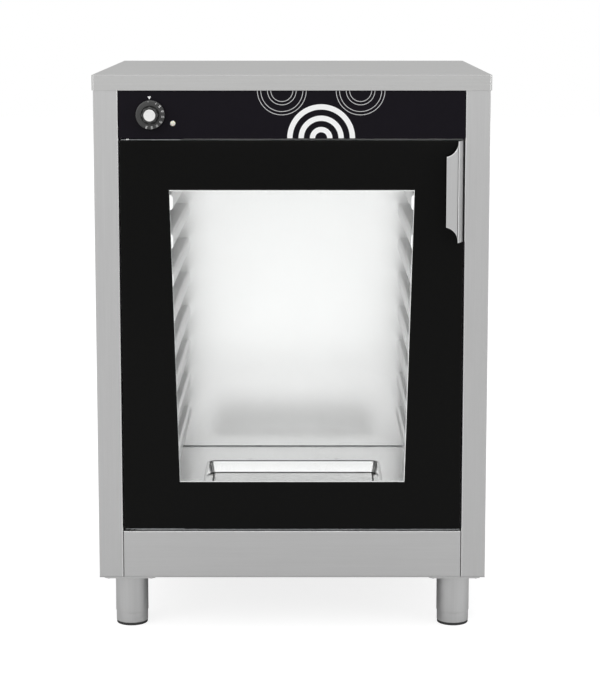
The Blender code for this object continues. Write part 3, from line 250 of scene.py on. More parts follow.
class CabinetSettings(PropertyGroup):
    """Everything about the cabinet that a user may change."""

    finishes: PointerProperty(type=CabinetFinishes)
    edges: PointerProperty(type=CabinetEdges)
    marks: PointerProperty(type=CabinetPrint)
    details: PointerProperty(type=CabinetDetails)
    stage: PointerProperty(type=CabinetStage)


# Meshes

def cad_copy(node):
    """A node's solid as a bmesh, with its triangles joined into whole faces."""
    bm = bmesh.new()
    bm.from_mesh(frame["nodes"][node].data)
    bmesh.ops.remove_doubles(bm, verts=bm.verts, dist=WELD)
    bmesh.ops.dissolve_limit(bm, angle_limit=FLAT_ANGLE, verts=bm.verts, edges=bm.edges)
    return bm


def round_edges(bm, width, segments=2, chosen=None):
    """Bevel the sharp edges of a bmesh, or those of them that a test picks."""
    edges = [e for e in bm.edges if len(e.link_faces) == 2 and e.calc_face_angle(0) > EDGE_ANGLE]
    if chosen:
        edges = [e for e in edges if chosen(e)]
    bmesh.ops.bevel(bm, geom=edges, offset=width, segments=segments, profile=0.5, affect="EDGES", clamp_overlap=True,
                    material=-1)


def add_piece(name, bm, finish, body, replaced=()):
    """Make a smooth-shaded object of a bmesh, which rides on a body and may stand for CAD nodes."""
    bmesh.ops.recalc_face_normals(bm, faces=bm.faces)
    mesh = bpy.data.meshes.new(name)
    bm.to_mesh(mesh)
    bm.free()
    mesh.shade_smooth()
    mesh.set_sharp_from_angle(angle=SMOOTH_ANGLE)
    mesh.materials.append(bpy.data.materials[finish])
    piece = bpy.data.objects.new(name, mesh)
    bpy.context.scene.collection.objects.link(piece)
    piece.modifiers.new("flat_faces", "WEIGHTED_NORMAL").keep_sharp = True
    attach(piece, body)
    if replaced:
        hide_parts(*replaced)
    return piece


def replace_node(node, bm, finish):
    """A piece on the node's own body, which stands for it."""
    return add_piece(f"{node}_finished", bm, finish, BODY_OF[node], [node])


def is_fold(edge):
    """True where two broad faces meet, and not at a sheet's cut edge."""
    return all(face.calc_area() > FOLD_AREA for face in edge.link_faces)


def paint_highlight_steel(piece):
    """Add the brighter steel that a piece's faces of index 1 wear, a painted highlight along its edges."""
    piece.data.materials.append(bpy.data.materials["Polished Steel"])


def dress(node, width, finish, segments=2, fold=0.0):
    """The node's own shape with its edges rounded, and its folds first where they are given a width."""
    bm = cad_copy(node)
    if fold:
        round_edges(bm, fold, 4, is_fold)
    round_edges(bm, width, segments)
    return replace_node(node, bm, finish)


def arc(centre, radius, start, end, steps):
    """Points on an arc in a plane, angles in degrees."""
    turns = [radians(start + (end - start) * i / steps) for i in range(steps + 1)]
    return [(centre[0] + radius * cos(a), centre[1] + radius * sin(a)) for a in turns]


def lofted(loops, bm=None, ring=False):
    """Join loops of equal counts; a loop of one point is a tip. Ends are closed, or a ring joins last to first."""
    bm = bm or bmesh.new()
    rows = [[bm.verts.new(p) for p in loop] for loop in loops]
    pairs = list(zip(rows, rows[1:]))
    if ring:
        pairs.append((rows[-1], rows[0]))
    for low, high in pairs:
        count = max(len(low), len(high))
        for i in range(count):
            j = (i + 1) % count
            corners = [low[i % len(low)], low[j % len(low)], high[j % len(high)], high[i % len(high)]]
            bm.faces.new(dict.fromkeys(corners))
    if not ring:
        for row in (rows[0], rows[-1]):
            if len(row) > 2:
                bm.faces.new(row)
    return bm


def turned(profile, centre, axis="Z", steps=ROUND_STEPS, ring=False):
    """Turn a profile of (radius, height) points round an axis, Y or Z, through a centre of two coordinates."""
    loops = []
    for radius, height in profile:
        turns = range(steps) if radius > 0 else (0,)
        loop = [(centre[0] + radius * cos(2 * pi * i / steps), centre[1] + radius * sin(2 * pi * i / steps))
                for i in turns]
        loops.append([(a, b, height) if axis == "Z" else (a, height, b) for a, b in loop])
    return lofted(loops, ring=ring)


def plate(outline, near, far, bm=None):
    """A flat plate that faces -Y: an outline of (x, z) points between two values of Y."""
    return lofted([[(x, y, z) for x, z in outline] for y in (near, far)], bm)


def bar(outline, ends):
    """A bar along X: an outline of (y, z) points between two values of X."""
    return lofted([[(x, y, z) for y, z in outline] for x in ends])


def filleted(outline, radii):
    """A closed outline with its corners rounded, each by a radius of its own."""
    rounded = []
    for i, (point, radius) in enumerate(zip(outline, radii)):
        corner = Vector(point)
        before = (Vector(outline[i - 1]) - corner).normalized()
        after = (Vector(outline[(i + 1) % len(outline)]) - corner).normalized()
        half = before.angle(after) / 2
        if not radius:
            rounded.append(tuple(corner))
            continue
        centre = corner + (before + after).normalized() * radius / sin(half)
        start = corner + before * radius * cos(half) / sin(half) - centre
        end = corner + after * radius * cos(half) / sin(half) - centre
        for k in range(CORNER_STEPS + 1):
            rounded.append(tuple(centre + start.lerp(end, k / CORNER_STEPS).normalized() * radius))
    return rounded


def windowed(outer, hole):
    """A plate of outlines at rising values of Y, with a straight hole through it."""
    bm = bmesh.new()
    rows = [[bm.verts.new((x, y, z)) for x, z in outline] for outline, y in outer]
    edge = [[bm.verts.new((x, y, z)) for x, z in hole] for y in (outer[0][1], outer[-1][1])]
    for low, high in (*zip(rows, rows[1:]), edge):
        for i in range(len(low)):
            j = (i + 1) % len(low)
            bm.faces.new((low[i], low[j], high[j], high[i]))
    for rim, inner in ((rows[0], edge[0]), (rows[-1], edge[1])):
        points = rim + inner
        for corners in tessellate_polygon([[v.co for v in rim], [v.co for v in inner]]):
            bm.faces.new([points[i] for i in corners])
    return bm


def rounded_rectangle(x, y, radius):
    """A rectangle of two (low, high) ranges with round corners."""
    corners = ((x[1], y[1], 0), (x[0], y[1], 90), (x[0], y[0], 180), (x[1], y[0], 270))
    outline = []
    for corner_x, corner_y, start in corners:
        inner = (min(max(corner_x, x[0] + radius), x[1] - radius), min(max(corner_y, y[0] + radius), y[1] - radius))
        outline += arc(inner, radius, start, start + 90, CORNER_STEPS)
    return outline


def rounded_loops(levels, low, high, corner):
    """A box's plan with round corners, once for each (inset, height) level. The corners shrink with the inset."""
    loops = []
    for inset, z in levels:
        x, y = (low.x + inset, high.x - inset), (low.y + inset, high.y - inset)
        loops.append([(a, b, z) for a, b in rounded_rectangle(x, y, corner - inset)])
    return loops


def measure(node, axis="Z"):
    """A part's box, its centre in the plane across an axis, and half its width, which is a round part's radius."""
    low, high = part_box(node)
    across = (low.y + high.y) / 2 if axis == "Z" else (low.z + high.z) / 2
    return low, high, ((low.x + high.x) / 2, across), (high.x - low.x) / 2


def screws(name, places, radius, height, direction, body):
    """Button-head screws with six-sided sockets, at a list of places on a face that looks along a direction."""
    bm = bmesh.new()
    turn = Vector((0, 0, 1)).rotation_difference(Vector(direction)).to_matrix().to_4x4()
    socket, sunk, skirt = radius * SOCKET, height * SUNK, height * SKIRT
    dome = [(radius * cos(a), skirt + (height - skirt) * sin(a), False) for a in map(radians, range(0, 61, 15))]
    rows = [(0, -HAIR, False), (radius, -HAIR, False)] + dome
    rows += [(socket, height, True), (socket, sunk, True), (0, sunk, False)]
    loops = []
    for reach, z, sided in rows:
        turns = [2 * pi * i / SCREW_STEPS for i in range(SCREW_STEPS if reach else 1)]
        flats = [reach * (cos(pi / 6) / cos(a % (pi / 3) - pi / 6) if sided else 1) for a in turns]
        loops.append([Vector((r * cos(a), r * sin(a), z)) for r, a in zip(flats, turns)])
    for place in places:
        stand = Matrix.Translation(place) @ turn
        lofted([[stand @ point for point in loop] for loop in loops], bm)
    return add_piece(name, bm, "Polished Steel", body)


# Materials

def feed(value, socket):
    """Link an output to an input, or set the input's own value."""
    if isinstance(value, bpy.types.NodeSocket):
        value.id_data.links.new(value, socket)
    else:
        socket.default_value = value


def add_node(tree, kind, inputs=None, **settings):
    """A node with its settings, and with its inputs fed by name or place."""
    node = tree.nodes.new(kind)
    for key, value in settings.items():
        setattr(node, key, value)
    for key, value in (inputs or {}).items():
        feed(value, node.inputs[key])
    return node


def noise(place, upward_shade_colour, detail, roughness=0.6):
    inputs = {"Vector": place, "Scale": upward_shade_colour, "Detail": detail, "Roughness": roughness}
    return add_node(place.id_data, "ShaderNodeTexNoise", inputs).outputs["Fac"]


def spread(value, low, high, to_low=0.0, to_high=1.0):
    """Stretch the part of a value between two bounds to a new range."""
    inputs = {"Value": value, "From Min": low, "From Max": high, "To Min": to_low, "To Max": to_high}
    return add_node(value.id_data, "ShaderNodeMapRange", inputs).outputs["Result"]


def maths(operation, a, b):
    """One step of arithmetic on two sockets, or on a socket and a number."""
    tree = (a if isinstance(a, bpy.types.NodeSocket) else b).id_data
    return add_node(tree, "ShaderNodeMath", {0: a, 1: b}, operation=operation).outputs["Value"]


def plus(a, b):
    return maths("ADD", a, b)


def times(a, b):
    return maths("MULTIPLY", a, b)


def stretched(place, stretch):
    """A place scaled along each axis, which draws a texture out into lines."""
    scaled = add_node(place.id_data, "ShaderNodeVectorMath", {0: place, 1: stretch}, operation="MULTIPLY")
    return scaled.outputs["Vector"]


def new_group(name, outputs, **inputs):
    """An empty shader group. Gives its inputs' and outputs' inner sockets, and the place on the piece."""
    tree = bpy.data.node_groups.new(name, "ShaderNodeTree")
    for socket, default in inputs.items():
        kind = "NodeSocketVector" if isinstance(default, tuple) else "NodeSocketFloat"
        tree.interface.new_socket(socket, in_out="INPUT", socket_type=kind).default_value = default
    for socket in outputs:
        tree.interface.new_socket(socket, in_out="OUTPUT", socket_type="NodeSocketFloat")
    place = tree.nodes.new("ShaderNodeTexCoord").outputs["Object"]
    return tree.nodes.new("NodeGroupInput").outputs, tree.nodes.new("NodeGroupOutput").inputs, place


def make_brushed_grain():
    """Lines of a brushed finish: broad soft streaks and fine hairlines."""
    entry, end, place = new_group("Brushed Grain", ["Streaks", "Hairlines"], Stretch=(1, 1, 1), Fineness=600)
    place = stretched(place, entry["Stretch"])
    feed(spread(noise(place, times(entry["Fineness"], 0.12), 3), 0.32, 0.68), end["Streaks"])
    feed(spread(noise(place, entry["Fineness"], 5, 0.7), 0.3, 0.7), end["Hairlines"])


def make_fine_scratches():
    """Sparse long marks, where a stretched noise passes a high bound."""
    entry, end, place = new_group("Fine Scratches", ["Scratches"], Stretch=(1, 1, 1), Count=90)
    marks = noise(stretched(place, entry["Stretch"]), entry["Count"], 2, 0.5)
    feed(spread(marks, 0.7, 0.76), end["Scratches"])


def make_hand_marks():
    """Large soft patches, where a surface has been wiped and touched."""
    entry, end, place = new_group("Hand Marks", ["Marks"], Size=5)
    feed(spread(noise(place, entry["Size"], 4, 0.55), 0.35, 0.7), end["Marks"])


def make_moulded_grain():
    """The fine pitted skin of moulded plastic and rubber."""
    entry, end, place = new_group("Moulded Grain", ["Height", "Mottle"], Fineness=2500)
    feed(noise(place, entry["Fineness"], 3), end["Height"])
    feed(spread(noise(place, times(entry["Fineness"], 0.04), 2), 0.3, 0.7), end["Mottle"])


def make_zinc_spangle():
    """The flat crystal patches of a zinc coat."""
    entry, end, place = new_group("Zinc Spangle", ["Patch", "Grain"], Patches=140)
    cells = add_node(place.id_data, "ShaderNodeTexVoronoi", {"Vector": place, "Scale": entry["Patches"]})
    split = add_node(place.id_data, "ShaderNodeSeparateColor", {"Color": cells.outputs["Color"]})
    feed(split.outputs["Red"], end["Patch"])
    feed(noise(place, 900, 3), end["Grain"])


def make_dust_and_upward_shade():
    """A thin veil on what faces up, even or in patches: dust, and the basin floor's painted shade."""
    entry, end, place = new_group("Settled Dust", ["Dust"], Amount=0.1, Patchiness=1)
    normal = add_node(place.id_data, "ShaderNodeNewGeometry").outputs["Normal"]
    split = add_node(place.id_data, "ShaderNodeSeparateXYZ", {"Vector": normal})
    upward = spread(split.outputs["Z"], 0.6, 1.0)
    gaps = spread(noise(place, 14, 5), 0.35, 0.75, 1.0, 0.0)
    veil = maths("SUBTRACT", 1, times(gaps, entry["Patchiness"]))
    feed(times(times(upward, veil), entry["Amount"]), end["Dust"])


def new_material(name, roughness, metallic=0.0, ior=1.5, **constants):
    """A material with its constants set on the Principled shader's own sockets."""
    material = bpy.data.materials.new(name)
    material.use_nodes = True
    shader = material.node_tree.nodes["Principled BSDF"]
    for socket, value in {"Roughness": roughness, "Metallic": metallic, "IOR": ior, **constants}.items():
        shader.inputs[socket.replace("_", " ")].default_value = value
    return material.node_tree, shader


def use_group(tree, name, **values):
    """Place a shader group in a material, with its own values."""
    return add_node(tree, "ShaderNodeGroup", values, node_tree=bpy.data.node_groups[name]).outputs


def opaque(colour, factor=1.0):
    """A shade of a colour, with its alpha."""
    return tuple(max(0.0, min(1.0, c * factor)) for c in colour) + (1.0,)


def mixed(under, over, mask):
    """Run from one colour to another with a mask. The first may be a socket."""
    return add_node(mask.id_data, "ShaderNodeMix", {"A": under, "B": over, "Factor": mask},
                    data_type="RGBA").outputs["Result"]


def cover(shader, colour, rough, height, depth, strength):
    """Feed a shader its colour and its roughness, and its normal from a height."""
    bump = add_node(height.id_data, "ShaderNodeBump", {"Strength": strength, "Distance": depth, "Height": height})
    feed(colour, shader.inputs["Base Color"])
    feed(rough, shader.inputs["Roughness"])
    feed(bump.outputs["Normal"], shader.inputs["Normal"])


def make_steel(name, base, roughness, along, contrast=0.05, wear=0.5, depth=0.01 * MM, play=0.04, dust=0.06,
               edge=1.0, upward_shade_colour=None):
    """Brushed stainless steel, with streaks along one axis, hand marks, faint scratches and a little dust.
    A grey, where one is given, is laid on the faces that look up as painted shade."""
    tree, shader = new_material(name, roughness, metallic=1.0, Specular_Tint=(edge, edge, edge, 1.0))
    grain = use_group(tree, "Brushed Grain", Stretch=ALONG[along], Fineness=BRUSHING)
    marks = use_group(tree, "Hand Marks", Size=4.0)["Marks"]
    scratches = use_group(tree, "Fine Scratches", Stretch=ALONG[along], Count=BRUSHING * 0.05)["Scratches"]
    veil = use_group(tree, "Settled Dust", Amount=dust)["Dust"]
    streaks = plus(times(grain["Streaks"], 0.6), times(grain["Hairlines"], 0.4))
    steel = mixed(opaque(base, 1 - contrast), opaque(base, 1 + contrast), streaks)
    steel = mixed(steel, opaque(base, 1.25), times(scratches, 0.25 * wear))
    if upward_shade_colour is not None:
        # painted shade: the given grey laid over the faces that look up, which darkens the basin's floor
        upward_shade_mask = use_group(tree, "Settled Dust", Amount=0.8, Patchiness=0.25)["Dust"]
        steel = mixed(steel, opaque(upward_shade_colour), upward_shade_mask)
    rough = spread(grain["Hairlines"], 0, 1, roughness - play, roughness + play)
    rough = plus(plus(rough, times(marks, 0.05 * wear)), veil)
    cover(shader, steel, rough, grain["Hairlines"], depth, 0.3)


def make_galvanised(name, base):
    """Zinc coated sheet with its spangle."""
    tree, shader = new_material(name, 0.5, metallic=1.0)
    zinc = use_group(tree, "Zinc Spangle", Patches=140)
    marks = use_group(tree, "Hand Marks", Size=6.0)["Marks"]
    coat = mixed(opaque(base, 0.78), opaque(base, 1.2), zinc["Patch"])
    rough = plus(spread(zinc["Patch"], 0, 1, 0.42, 0.56), times(marks, 0.06))
    cover(shader, coat, rough, zinc["Grain"], 0.03 * MM, 0.4)


def make_tarnished(name, base, dull, roughness):
    """Bare metal with a cloudy tarnish."""
    tree, shader = new_material(name, roughness, metallic=1.0)
    marks = use_group(tree, "Hand Marks", Size=45.0)["Marks"]
    skin = use_group(tree, "Moulded Grain", Fineness=1800)
    metal = mixed(opaque(base, 0.85), opaque(base, 1.1), skin["Mottle"])
    metal = mixed(metal, opaque(dull), times(marks, 0.5))
    rough = spread(marks, 0, 1, roughness, roughness + 0.2)
    cover(shader, metal, rough, skin["Height"], 0.02 * MM, 0.3)


def make_moulded(name, base, roughness, fineness=2500, ior=1.5, depth=0.03 * MM, contrast=0.06, **constants):
    """Moulded plastic, rubber, ink or paint, with a fine skin."""
    tree, shader = new_material(name, roughness, ior=ior, **constants)
    skin = use_group(tree, "Moulded Grain", Fineness=fineness)
    marks = use_group(tree, "Hand Marks", Size=9.0)["Marks"]
    tone = mixed(opaque(base, 1 - contrast), opaque(base, 1 + contrast), skin["Mottle"])
    rough = spread(marks, 0, 1, roughness - 0.03, roughness + 0.05)
    cover(shader, tone, rough, skin["Height"], depth, 0.4)


def make_clear_glass(name, base, ior):
    """Clear glass with faint wiping marks, which lets straight light through for shadows."""
    tree, shader = new_material(name, 0.0, ior=ior, Transmission_Weight=1.0)
    marks = use_group(tree, "Hand Marks", Size=3.0)["Marks"]
    feed(mixed(opaque(base), opaque(base, 0.985), marks), shader.inputs["Base Color"])
    clear = add_node(tree, "ShaderNodeBsdfTransparent").outputs["BSDF"]
    shadow = add_node(tree, "ShaderNodeLightPath").outputs["Is Shadow Ray"]
    mix = add_node(tree, "ShaderNodeMixShader", {"Fac": shadow, 1: shader.outputs["BSDF"], 2: clear})
    feed(mix.outputs["Shader"], tree.nodes["Material Output"].inputs["Surface"])


def make_mineral_wool(name, base):
    """Matted fibres in loose layers."""
    tree, shader = new_material(name, 0.95, Sheen_Weight=0.3)
    fibres = use_group(tree, "Brushed Grain", Stretch=(0.3, 0.3, 1.4), Fineness=420)
    marks = use_group(tree, "Hand Marks", Size=22.0)["Marks"]
    wool = mixed(opaque(base, 0.7), opaque(base, 1.15), fibres["Streaks"])
    wool = mixed(wool, opaque(base, 0.5), times(marks, 0.25))
    cover(shader, wool, 0.95, fibres["Hairlines"], 1.2 * MM, 0.9)


class CABINET_OT_finishes(Operator):
    """Make the shader groups and the materials"""

    bl_idname = "cabinet.finishes"
    bl_label = "Finishes"

    def execute(self, context):
        for make in (make_brushed_grain, make_fine_scratches, make_hand_marks, make_moulded_grain,
                     make_zinc_spangle, make_dust_and_upward_shade):
            make()
        f = context.scene.cabinet.finishes
        rough = f.steel_roughness
        make_steel("Worktop Steel", f.worktop_steel, rough, "X", contrast=0.035, edge=f.worktop_edge)
        make_steel("Cabinet Steel", f.case_steel, rough, "Z", contrast=0.03)
        make_steel("Plinth Steel", f.case_steel, rough, "X", contrast=0.03)
        make_steel("Leg Steel", f.case_steel, rough + 0.04, "Z", contrast=0.04)
        soft = {"contrast": 0.015, "wear": 0.12, "depth": 0.002 * MM}
        make_steel("Chamber Steel", f.chamber_steel, f.chamber_roughness, "Z", **soft)
        still = {"contrast": 0.004, "wear": 0.02, "depth": 0.0002 * MM, "play": 0.004, "dust": 0.01}
        make_steel("Chamber Floor Steel", f.chamber_steel, f.chamber_roughness, "X", **still)
        make_steel("Rack Steel", f.chamber_steel, f.rack_roughness, "Y", edge=f.rack_edge, **soft)
        # The basin's floor is darkened here with painted shade on its faces that look up.
        make_steel("Basin Steel", f.basin_steel, 0.14, "X", upward_shade_colour=f.basin_floor_shade, **still)
        make_steel("Polished Steel", f.polished_steel, 0.16, "Z", contrast=0.04)
        make_galvanised("Galvanised Steel", f.galvanised_steel)
        make_tarnished("Element Sheath", (0.16, 0.15, 0.14), (0.05, 0.045, 0.05), 0.4)
        make_tarnished("Copper", f.copper, (0.2, 0.1, 0.07), 0.28)
        make_moulded("Black Panel", f.black_panel, 0.3, fineness=3500, ior=1.18, depth=0.01 * MM)
        make_moulded("Black Print", f.black_print, 0.08, fineness=4000, ior=1.16, depth=0.002 * MM)
        make_moulded("Black Rubber", f.rubber, 0.7, fineness=1600, ior=1.45)
        make_moulded("Black Plastic", f.black_plastic, 0.42, fineness=2500, ior=1.45)
        make_moulded("Dial Plastic", f.dial_plastic, 0.45, fineness=2200, ior=1.45)
        make_moulded("White Plastic", f.white_plastic, 0.35, fineness=2200, contrast=0.015)
        make_moulded("White Ink", f.white_ink, 0.5, fineness=5000, depth=0.01 * MM, contrast=0.01)
        make_moulded("Grey Ink", f.grey_ink, 0.5, fineness=5000, depth=0.01 * MM, contrast=0.02)
        make_moulded("Lamp Lens", f.lamp_lens, 0.2, fineness=1500, contrast=0.02, Subsurface_Weight=0.3,
                     Subsurface_Scale=2 * MM, Coat_Weight=0.6)
        make_clear_glass("Clear Glass", f.glass, 1.12)
        make_mineral_wool("Mineral Wool", f.mineral_wool)
        return {"FINISHED"}


class CABINET_OT_worktop(Operator):
    """Make the worktop and the channel that stiffens it"""

    bl_idname = "cabinet.worktop"
    bl_label = "Worktop"

    def execute(self, context):
        edges, details = context.scene.cabinet.edges, context.scene.cabinet.details
        low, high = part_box("worktop")
        gauge = details.worktop_gauge
        levels = arc((edges.lip, high.z - edges.lip), edges.lip, 90, 180, 4)
        levels += [(0, low.z + HAIR), (HAIR, low.z), (gauge, low.z), (gauge, high.z - gauge)]
        pan = lofted(rounded_loops(levels, low, high, details.worktop_corner))
        replace_node("worktop", pan, "Worktop Steel")
        dress("worktop_stiffener", edges.sheet, "Galvanised Steel")
        return {"FINISHED"}


class CABINET_OT_case(Operator):
    """Make the side shells, the back, the base, the plinth and its sill, the frame, the shelf and the insulation"""

    bl_idname = "cabinet.case"
    bl_label = "Case"

    def execute(self, context):
        edges = context.scene.cabinet.edges
        for side in ("left", "right"):
            self.make_shell(edges, f"side_shell_{side}")
        dress("back_panel", edges.sheet, "Cabinet Steel")
        dress("base_panel", HAIR, "Cabinet Steel")
        self.make_plinth(edges)
        self.make_sill(edges)
        dress("front_frame", edges.sheet, "Cabinet Steel")
        dress("control_shelf", edges.sheet, "Galvanised Steel")
        for side in ("left", "right", "ceiling", "back", "floor"):
            dress(f"insulation_{side}", edges.wool, "Mineral Wool", 3)
        return {"FINISHED"}

    def make_shell(self, edges, node):
        """A side sheet, with a painted highlight in brighter steel on the fold at its front post's inner edge."""
        bm = cad_copy(node)
        front, inner = (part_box("side_shell_right")[0][axis] + SOLID_FOLD for axis in (1, 0))
        for face in bm.faces:
            centre = face.calc_center_median()
            slanted = max(abs(axis) for axis in face.normal) < cos(FOLD_ANGLE)
            # painted highlight: the slanted fold faces at the front post's inner edge take the brighter steel
            face.material_index = int(centre.y < front and abs(centre.x) < inner and slanted)
        round_edges(bm, edges.sheet)
        paint_highlight_steel(replace_node(node, bm, "Cabinet Steel"))

    def make_plinth(self, edges):
        """The plinth, a little short of the posts, and with its lower fold drawn in close to the base."""
        bm = cad_copy("front_plinth")
        low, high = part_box("front_plinth")
        for vertex in bm.verts:
            if abs(vertex.co.x) > high.x - WELD:
                vertex.co.x -= edges.joint if vertex.co.x > 0 else -edges.joint
            depth, rise = vertex.co.y - low.y, vertex.co.z - low.z
            if min(depth, rise) > WELD and max(depth, rise) < SOLID_FOLD / 2:
                vertex.co.y = low.y + edges.sheet * (depth > rise)
                vertex.co.z = low.z + edges.sheet * (rise > depth)
            if vertex.co.z < low.z + WELD:
                vertex.co.z -= 2 * HAIR
        top, foot = high.z - WELD, low.z + SOLID_FOLD / 2
        round_edges(bm, edges.fold, 4, lambda edge: is_fold(edge) and all(v.co.z > top for v in edge.verts))
        round_edges(bm, edges.sheet, chosen=lambda edge: any(v.co.z > foot for v in edge.verts))
        replace_node("front_plinth", bm, "Plinth Steel")

    def make_sill(self, edges):
        """The low strip on the plinth's top, which shows in the gap under the door."""
        washer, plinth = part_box("hinge_washer"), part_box("front_plinth")
        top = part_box("hinge_plate_bottom")[0].z - edges.joint
        front, base = plinth[0].y + SILL_BACK, plinth[1].z + HAIR / 2
        back = front + SILL_DEPTH
        outline = [(front, base), (front, top - edges.bar), (front + edges.bar, top), (back, top), (back, base)]
        bm = bar(outline, (washer[1].x + MM, plinth[1].x - edges.joint - MM))
        round_edges(bm, edges.sheet)
        add_piece("sill_strip", bm, "Galvanised Steel", "cabinet")


class CABINET_OT_rear_screws(Operator):
    """Make the screws that hold the back panel to the side shells"""

    bl_idname = "cabinet.rear_screws"
    bl_label = "Rear Screws"

    def execute(self, context):
        details = context.scene.cabinet.details
        low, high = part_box("side_shell_right")
        inset, last = details.screw_inset, REAR_SCREWS - 1
        span = high.z - low.z - 4 * inset
        places = [(side * (high.x - inset), high.y, low.z + 2 * inset + span * i / last)
                  for side in (-1, 1) for i in range(REAR_SCREWS)]
        screws("rear_screws", places, details.screw_head, details.screw_height, (0, 1, 0), "cabinet")
        return {"FINISHED"}


class CABINET_OT_panel(Operator):
    """Make the control panel"""

    bl_idname = "cabinet.panel"
    bl_label = "Control Panel"

    def execute(self, context):
        edges = context.scene.cabinet.edges
        dress("control_panel", edges.sheet, "Black Panel", fold=edges.fold)
        return {"FINISHED"}


def arch(bm, centre, base, inner, outer, way, floor, roof, face, ink):
    """A half ring of ink that stands on a level (way 1) or hangs from it (way -1), kept between floor and roof."""
    loops = []
    for angle in (pi * i / ROUND_STEPS for i in range(ROUND_STEPS + 1)):
        (x0, z0), (x1, z1) = [(centre + r * cos(angle), min(max(base + way * r * sin(angle), floor), roof))
                              for r in (inner, outer)]
        loops.append([(x0, face, z0), (x1, face, z1), (x1, face - ink, z1), (x0, face - ink, z0)])
    lofted(loops, bm)


class CABINET_OT_print(Operator):
    """Print the panel's design of standing and hanging arches"""

    bl_idname = "cabinet.print"
    bl_label = "Panel Print"

    def execute(self, context):
        p = context.scene.cabinet.marks
        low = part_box("control_panel")[0]
        face = low.y - HAIR / 2
        floor, roof = low.z + p.line_width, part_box("worktop")[0].z
        white = bmesh.new()
        for i in range(3):
            outer = p.arch_radius - i * p.arch_step
            arch(white, p.middle, floor, outer - p.arch_band, outer, 1, floor, roof, face - 2 * p.ink, p.ink)
        add_piece("panel_print_white", white, "White Ink", "cabinet")
        grey = bmesh.new()
        for side in (-1, 1):
            for i in range(2):
                for drop in (0, p.line_gap):
                    outer = p.line_radius - i * p.line_step - drop
                    arch(grey, p.middle + side * p.side_step, roof, outer - p.line_width, outer, -1, floor, roof,
                         face, p.ink)
        add_piece("panel_print_grey", grey, "Grey Ink", "cabinet")
        return {"FINISHED"}


class CABINET_OT_knob(Operator):
    """Make the thermostat's knob: dial, hub, cap and shaft"""

    bl_idname = "cabinet.knob"
    bl_label = "Knob"

    def execute(self, context):
        details, p = context.scene.cabinet.details, context.scene.cabinet.marks
        low, high, centre, radius = measure("knob_dial", "Y")
        eye = measure("thermostat_shaft", "Y")[3] + 3 * HAIR
        edge = details.knob_edge
        rim = arc((radius - 2 * edge, low.y + 2 * edge), 2 * edge, 0, -90, 6)
        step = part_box("knob_hub")[1].x - centre[0] + details.cap_groove
        face = [(step + edge / 2, low.y), (step, low.y + edge / 2), (step, low.y + 4 * edge), (eye, low.y + 4 * edge)]
        profile = [(eye, high.y), (radius - edge / 2, high.y), (radius, high.y - edge / 2)] + rim + face
        replace_node("knob_dial", turned(profile, centre, "Y", DIAL_STEPS, ring=True), "Dial Plastic")

        hub_low, hub_high, _, hub = measure("knob_hub", "Y")
        cap_low, cap_high, _, cap = measure("knob_cap", "Y")
        seat = (hub_low.y + hub_high.y) / 2
        shoulder = arc((0, hub_low.y + edge), edge, 0, -90, 5)
        groove, sunk = cap + details.cap_groove, hub_low.y + 2 * details.cap_groove
        rows = [(0, eye, seat), (0, eye, hub_high.y), (1, hub, hub_high.y)]
        rows += [(1, hub - edge + reach, y) for reach, y in shoulder]
        rows += [(0, groove, hub_low.y), (0, groove, sunk), (0, cap - edge / 2, sunk), (0, cap - edge / 2, hub_low.y)]
        loops = []
        for lobed, reach, y in rows:
            loop = []
            for i in range(HUB_STEPS):
                angle = 2 * pi * i / HUB_STEPS
                r = reach + lobed * details.lobe * (cos(details.lobes * angle) - 1) / 2
                loop.append((centre[0] + r * cos(angle), y, centre[1] + r * sin(angle)))
            loops.append(loop)
        replace_node("knob_hub", lofted(loops), "Dial Plastic")

        bead, dip = edge / 2, edge * 0.3
        parts = [i / DISH_STEPS for i in range(1, DISH_STEPS)]
        outline = [(0, cap_high.y), (cap, cap_high.y)] + arc((cap - bead, cap_low.y + bead), bead, 0, -90, 5)
        outline += [(cap * (1 - part) - bead, cap_low.y + dip * part ** 0.5) for part in parts]
        replace_node("knob_cap", turned(outline + [(0, cap_low.y + dip)], centre, "Y"), "White Plastic")
        dress("thermostat_shaft", HAIR, "Polished Steel")
        self.number_dial(p, details, centre, radius, low.y)
        return {"FINISHED"}

    def number_dial(self, p, details, centre, radius, face):
        """Numbers and ticks that read outward from the hub, clockwise from near the top."""
        marks = bmesh.new()
        for i in range(p.numbers):
            clock = radians(90 - FIRST_TURN - NUMBER_TURN * i)
            curve = bpy.data.curves.new("number", "FONT")
            curve.body, curve.size, curve.extrude = str(p.first_number + i * p.number_step), p.digit, p.ink / 2
            curve.space_character, curve.align_x, curve.align_y = DIGIT_SPACE, "RIGHT", "CENTER"
            number = bpy.data.objects.new("number", curve)
            mesh = number.to_mesh()
            reach = radius - details.tick / 4
            place = Matrix.Translation((centre[0] + reach * cos(clock), face - p.ink, centre[1] + reach * sin(clock)))
            mesh.transform(place @ Matrix.Rotation(-clock, 4, "Y") @ Matrix.Rotation(pi / 2, 4, "X"))
            marks.from_mesh(mesh)
            number.to_mesh_clear()
            bpy.data.objects.remove(number)
            bpy.data.curves.remove(curve)
        for clock, long in TICKS:
            out = Vector((cos(radians(clock)), sin(radians(clock))))
            across = Vector((-out.y, out.x)) * details.tick * TICK_WIDTH / 2
            far = Vector(centre) + out * (radius - details.tick / 2)
            near = far - out * details.tick * long
            outline = [far + across, far - across, near - across, near + across]
            plate(outline, face - p.ink / 2, face - 1.5 * p.ink, marks)
        bmesh.ops.remove_doubles(marks, verts=marks.verts, dist=WELD)
        add_piece("dial_marks", marks, "White Ink", "knob")


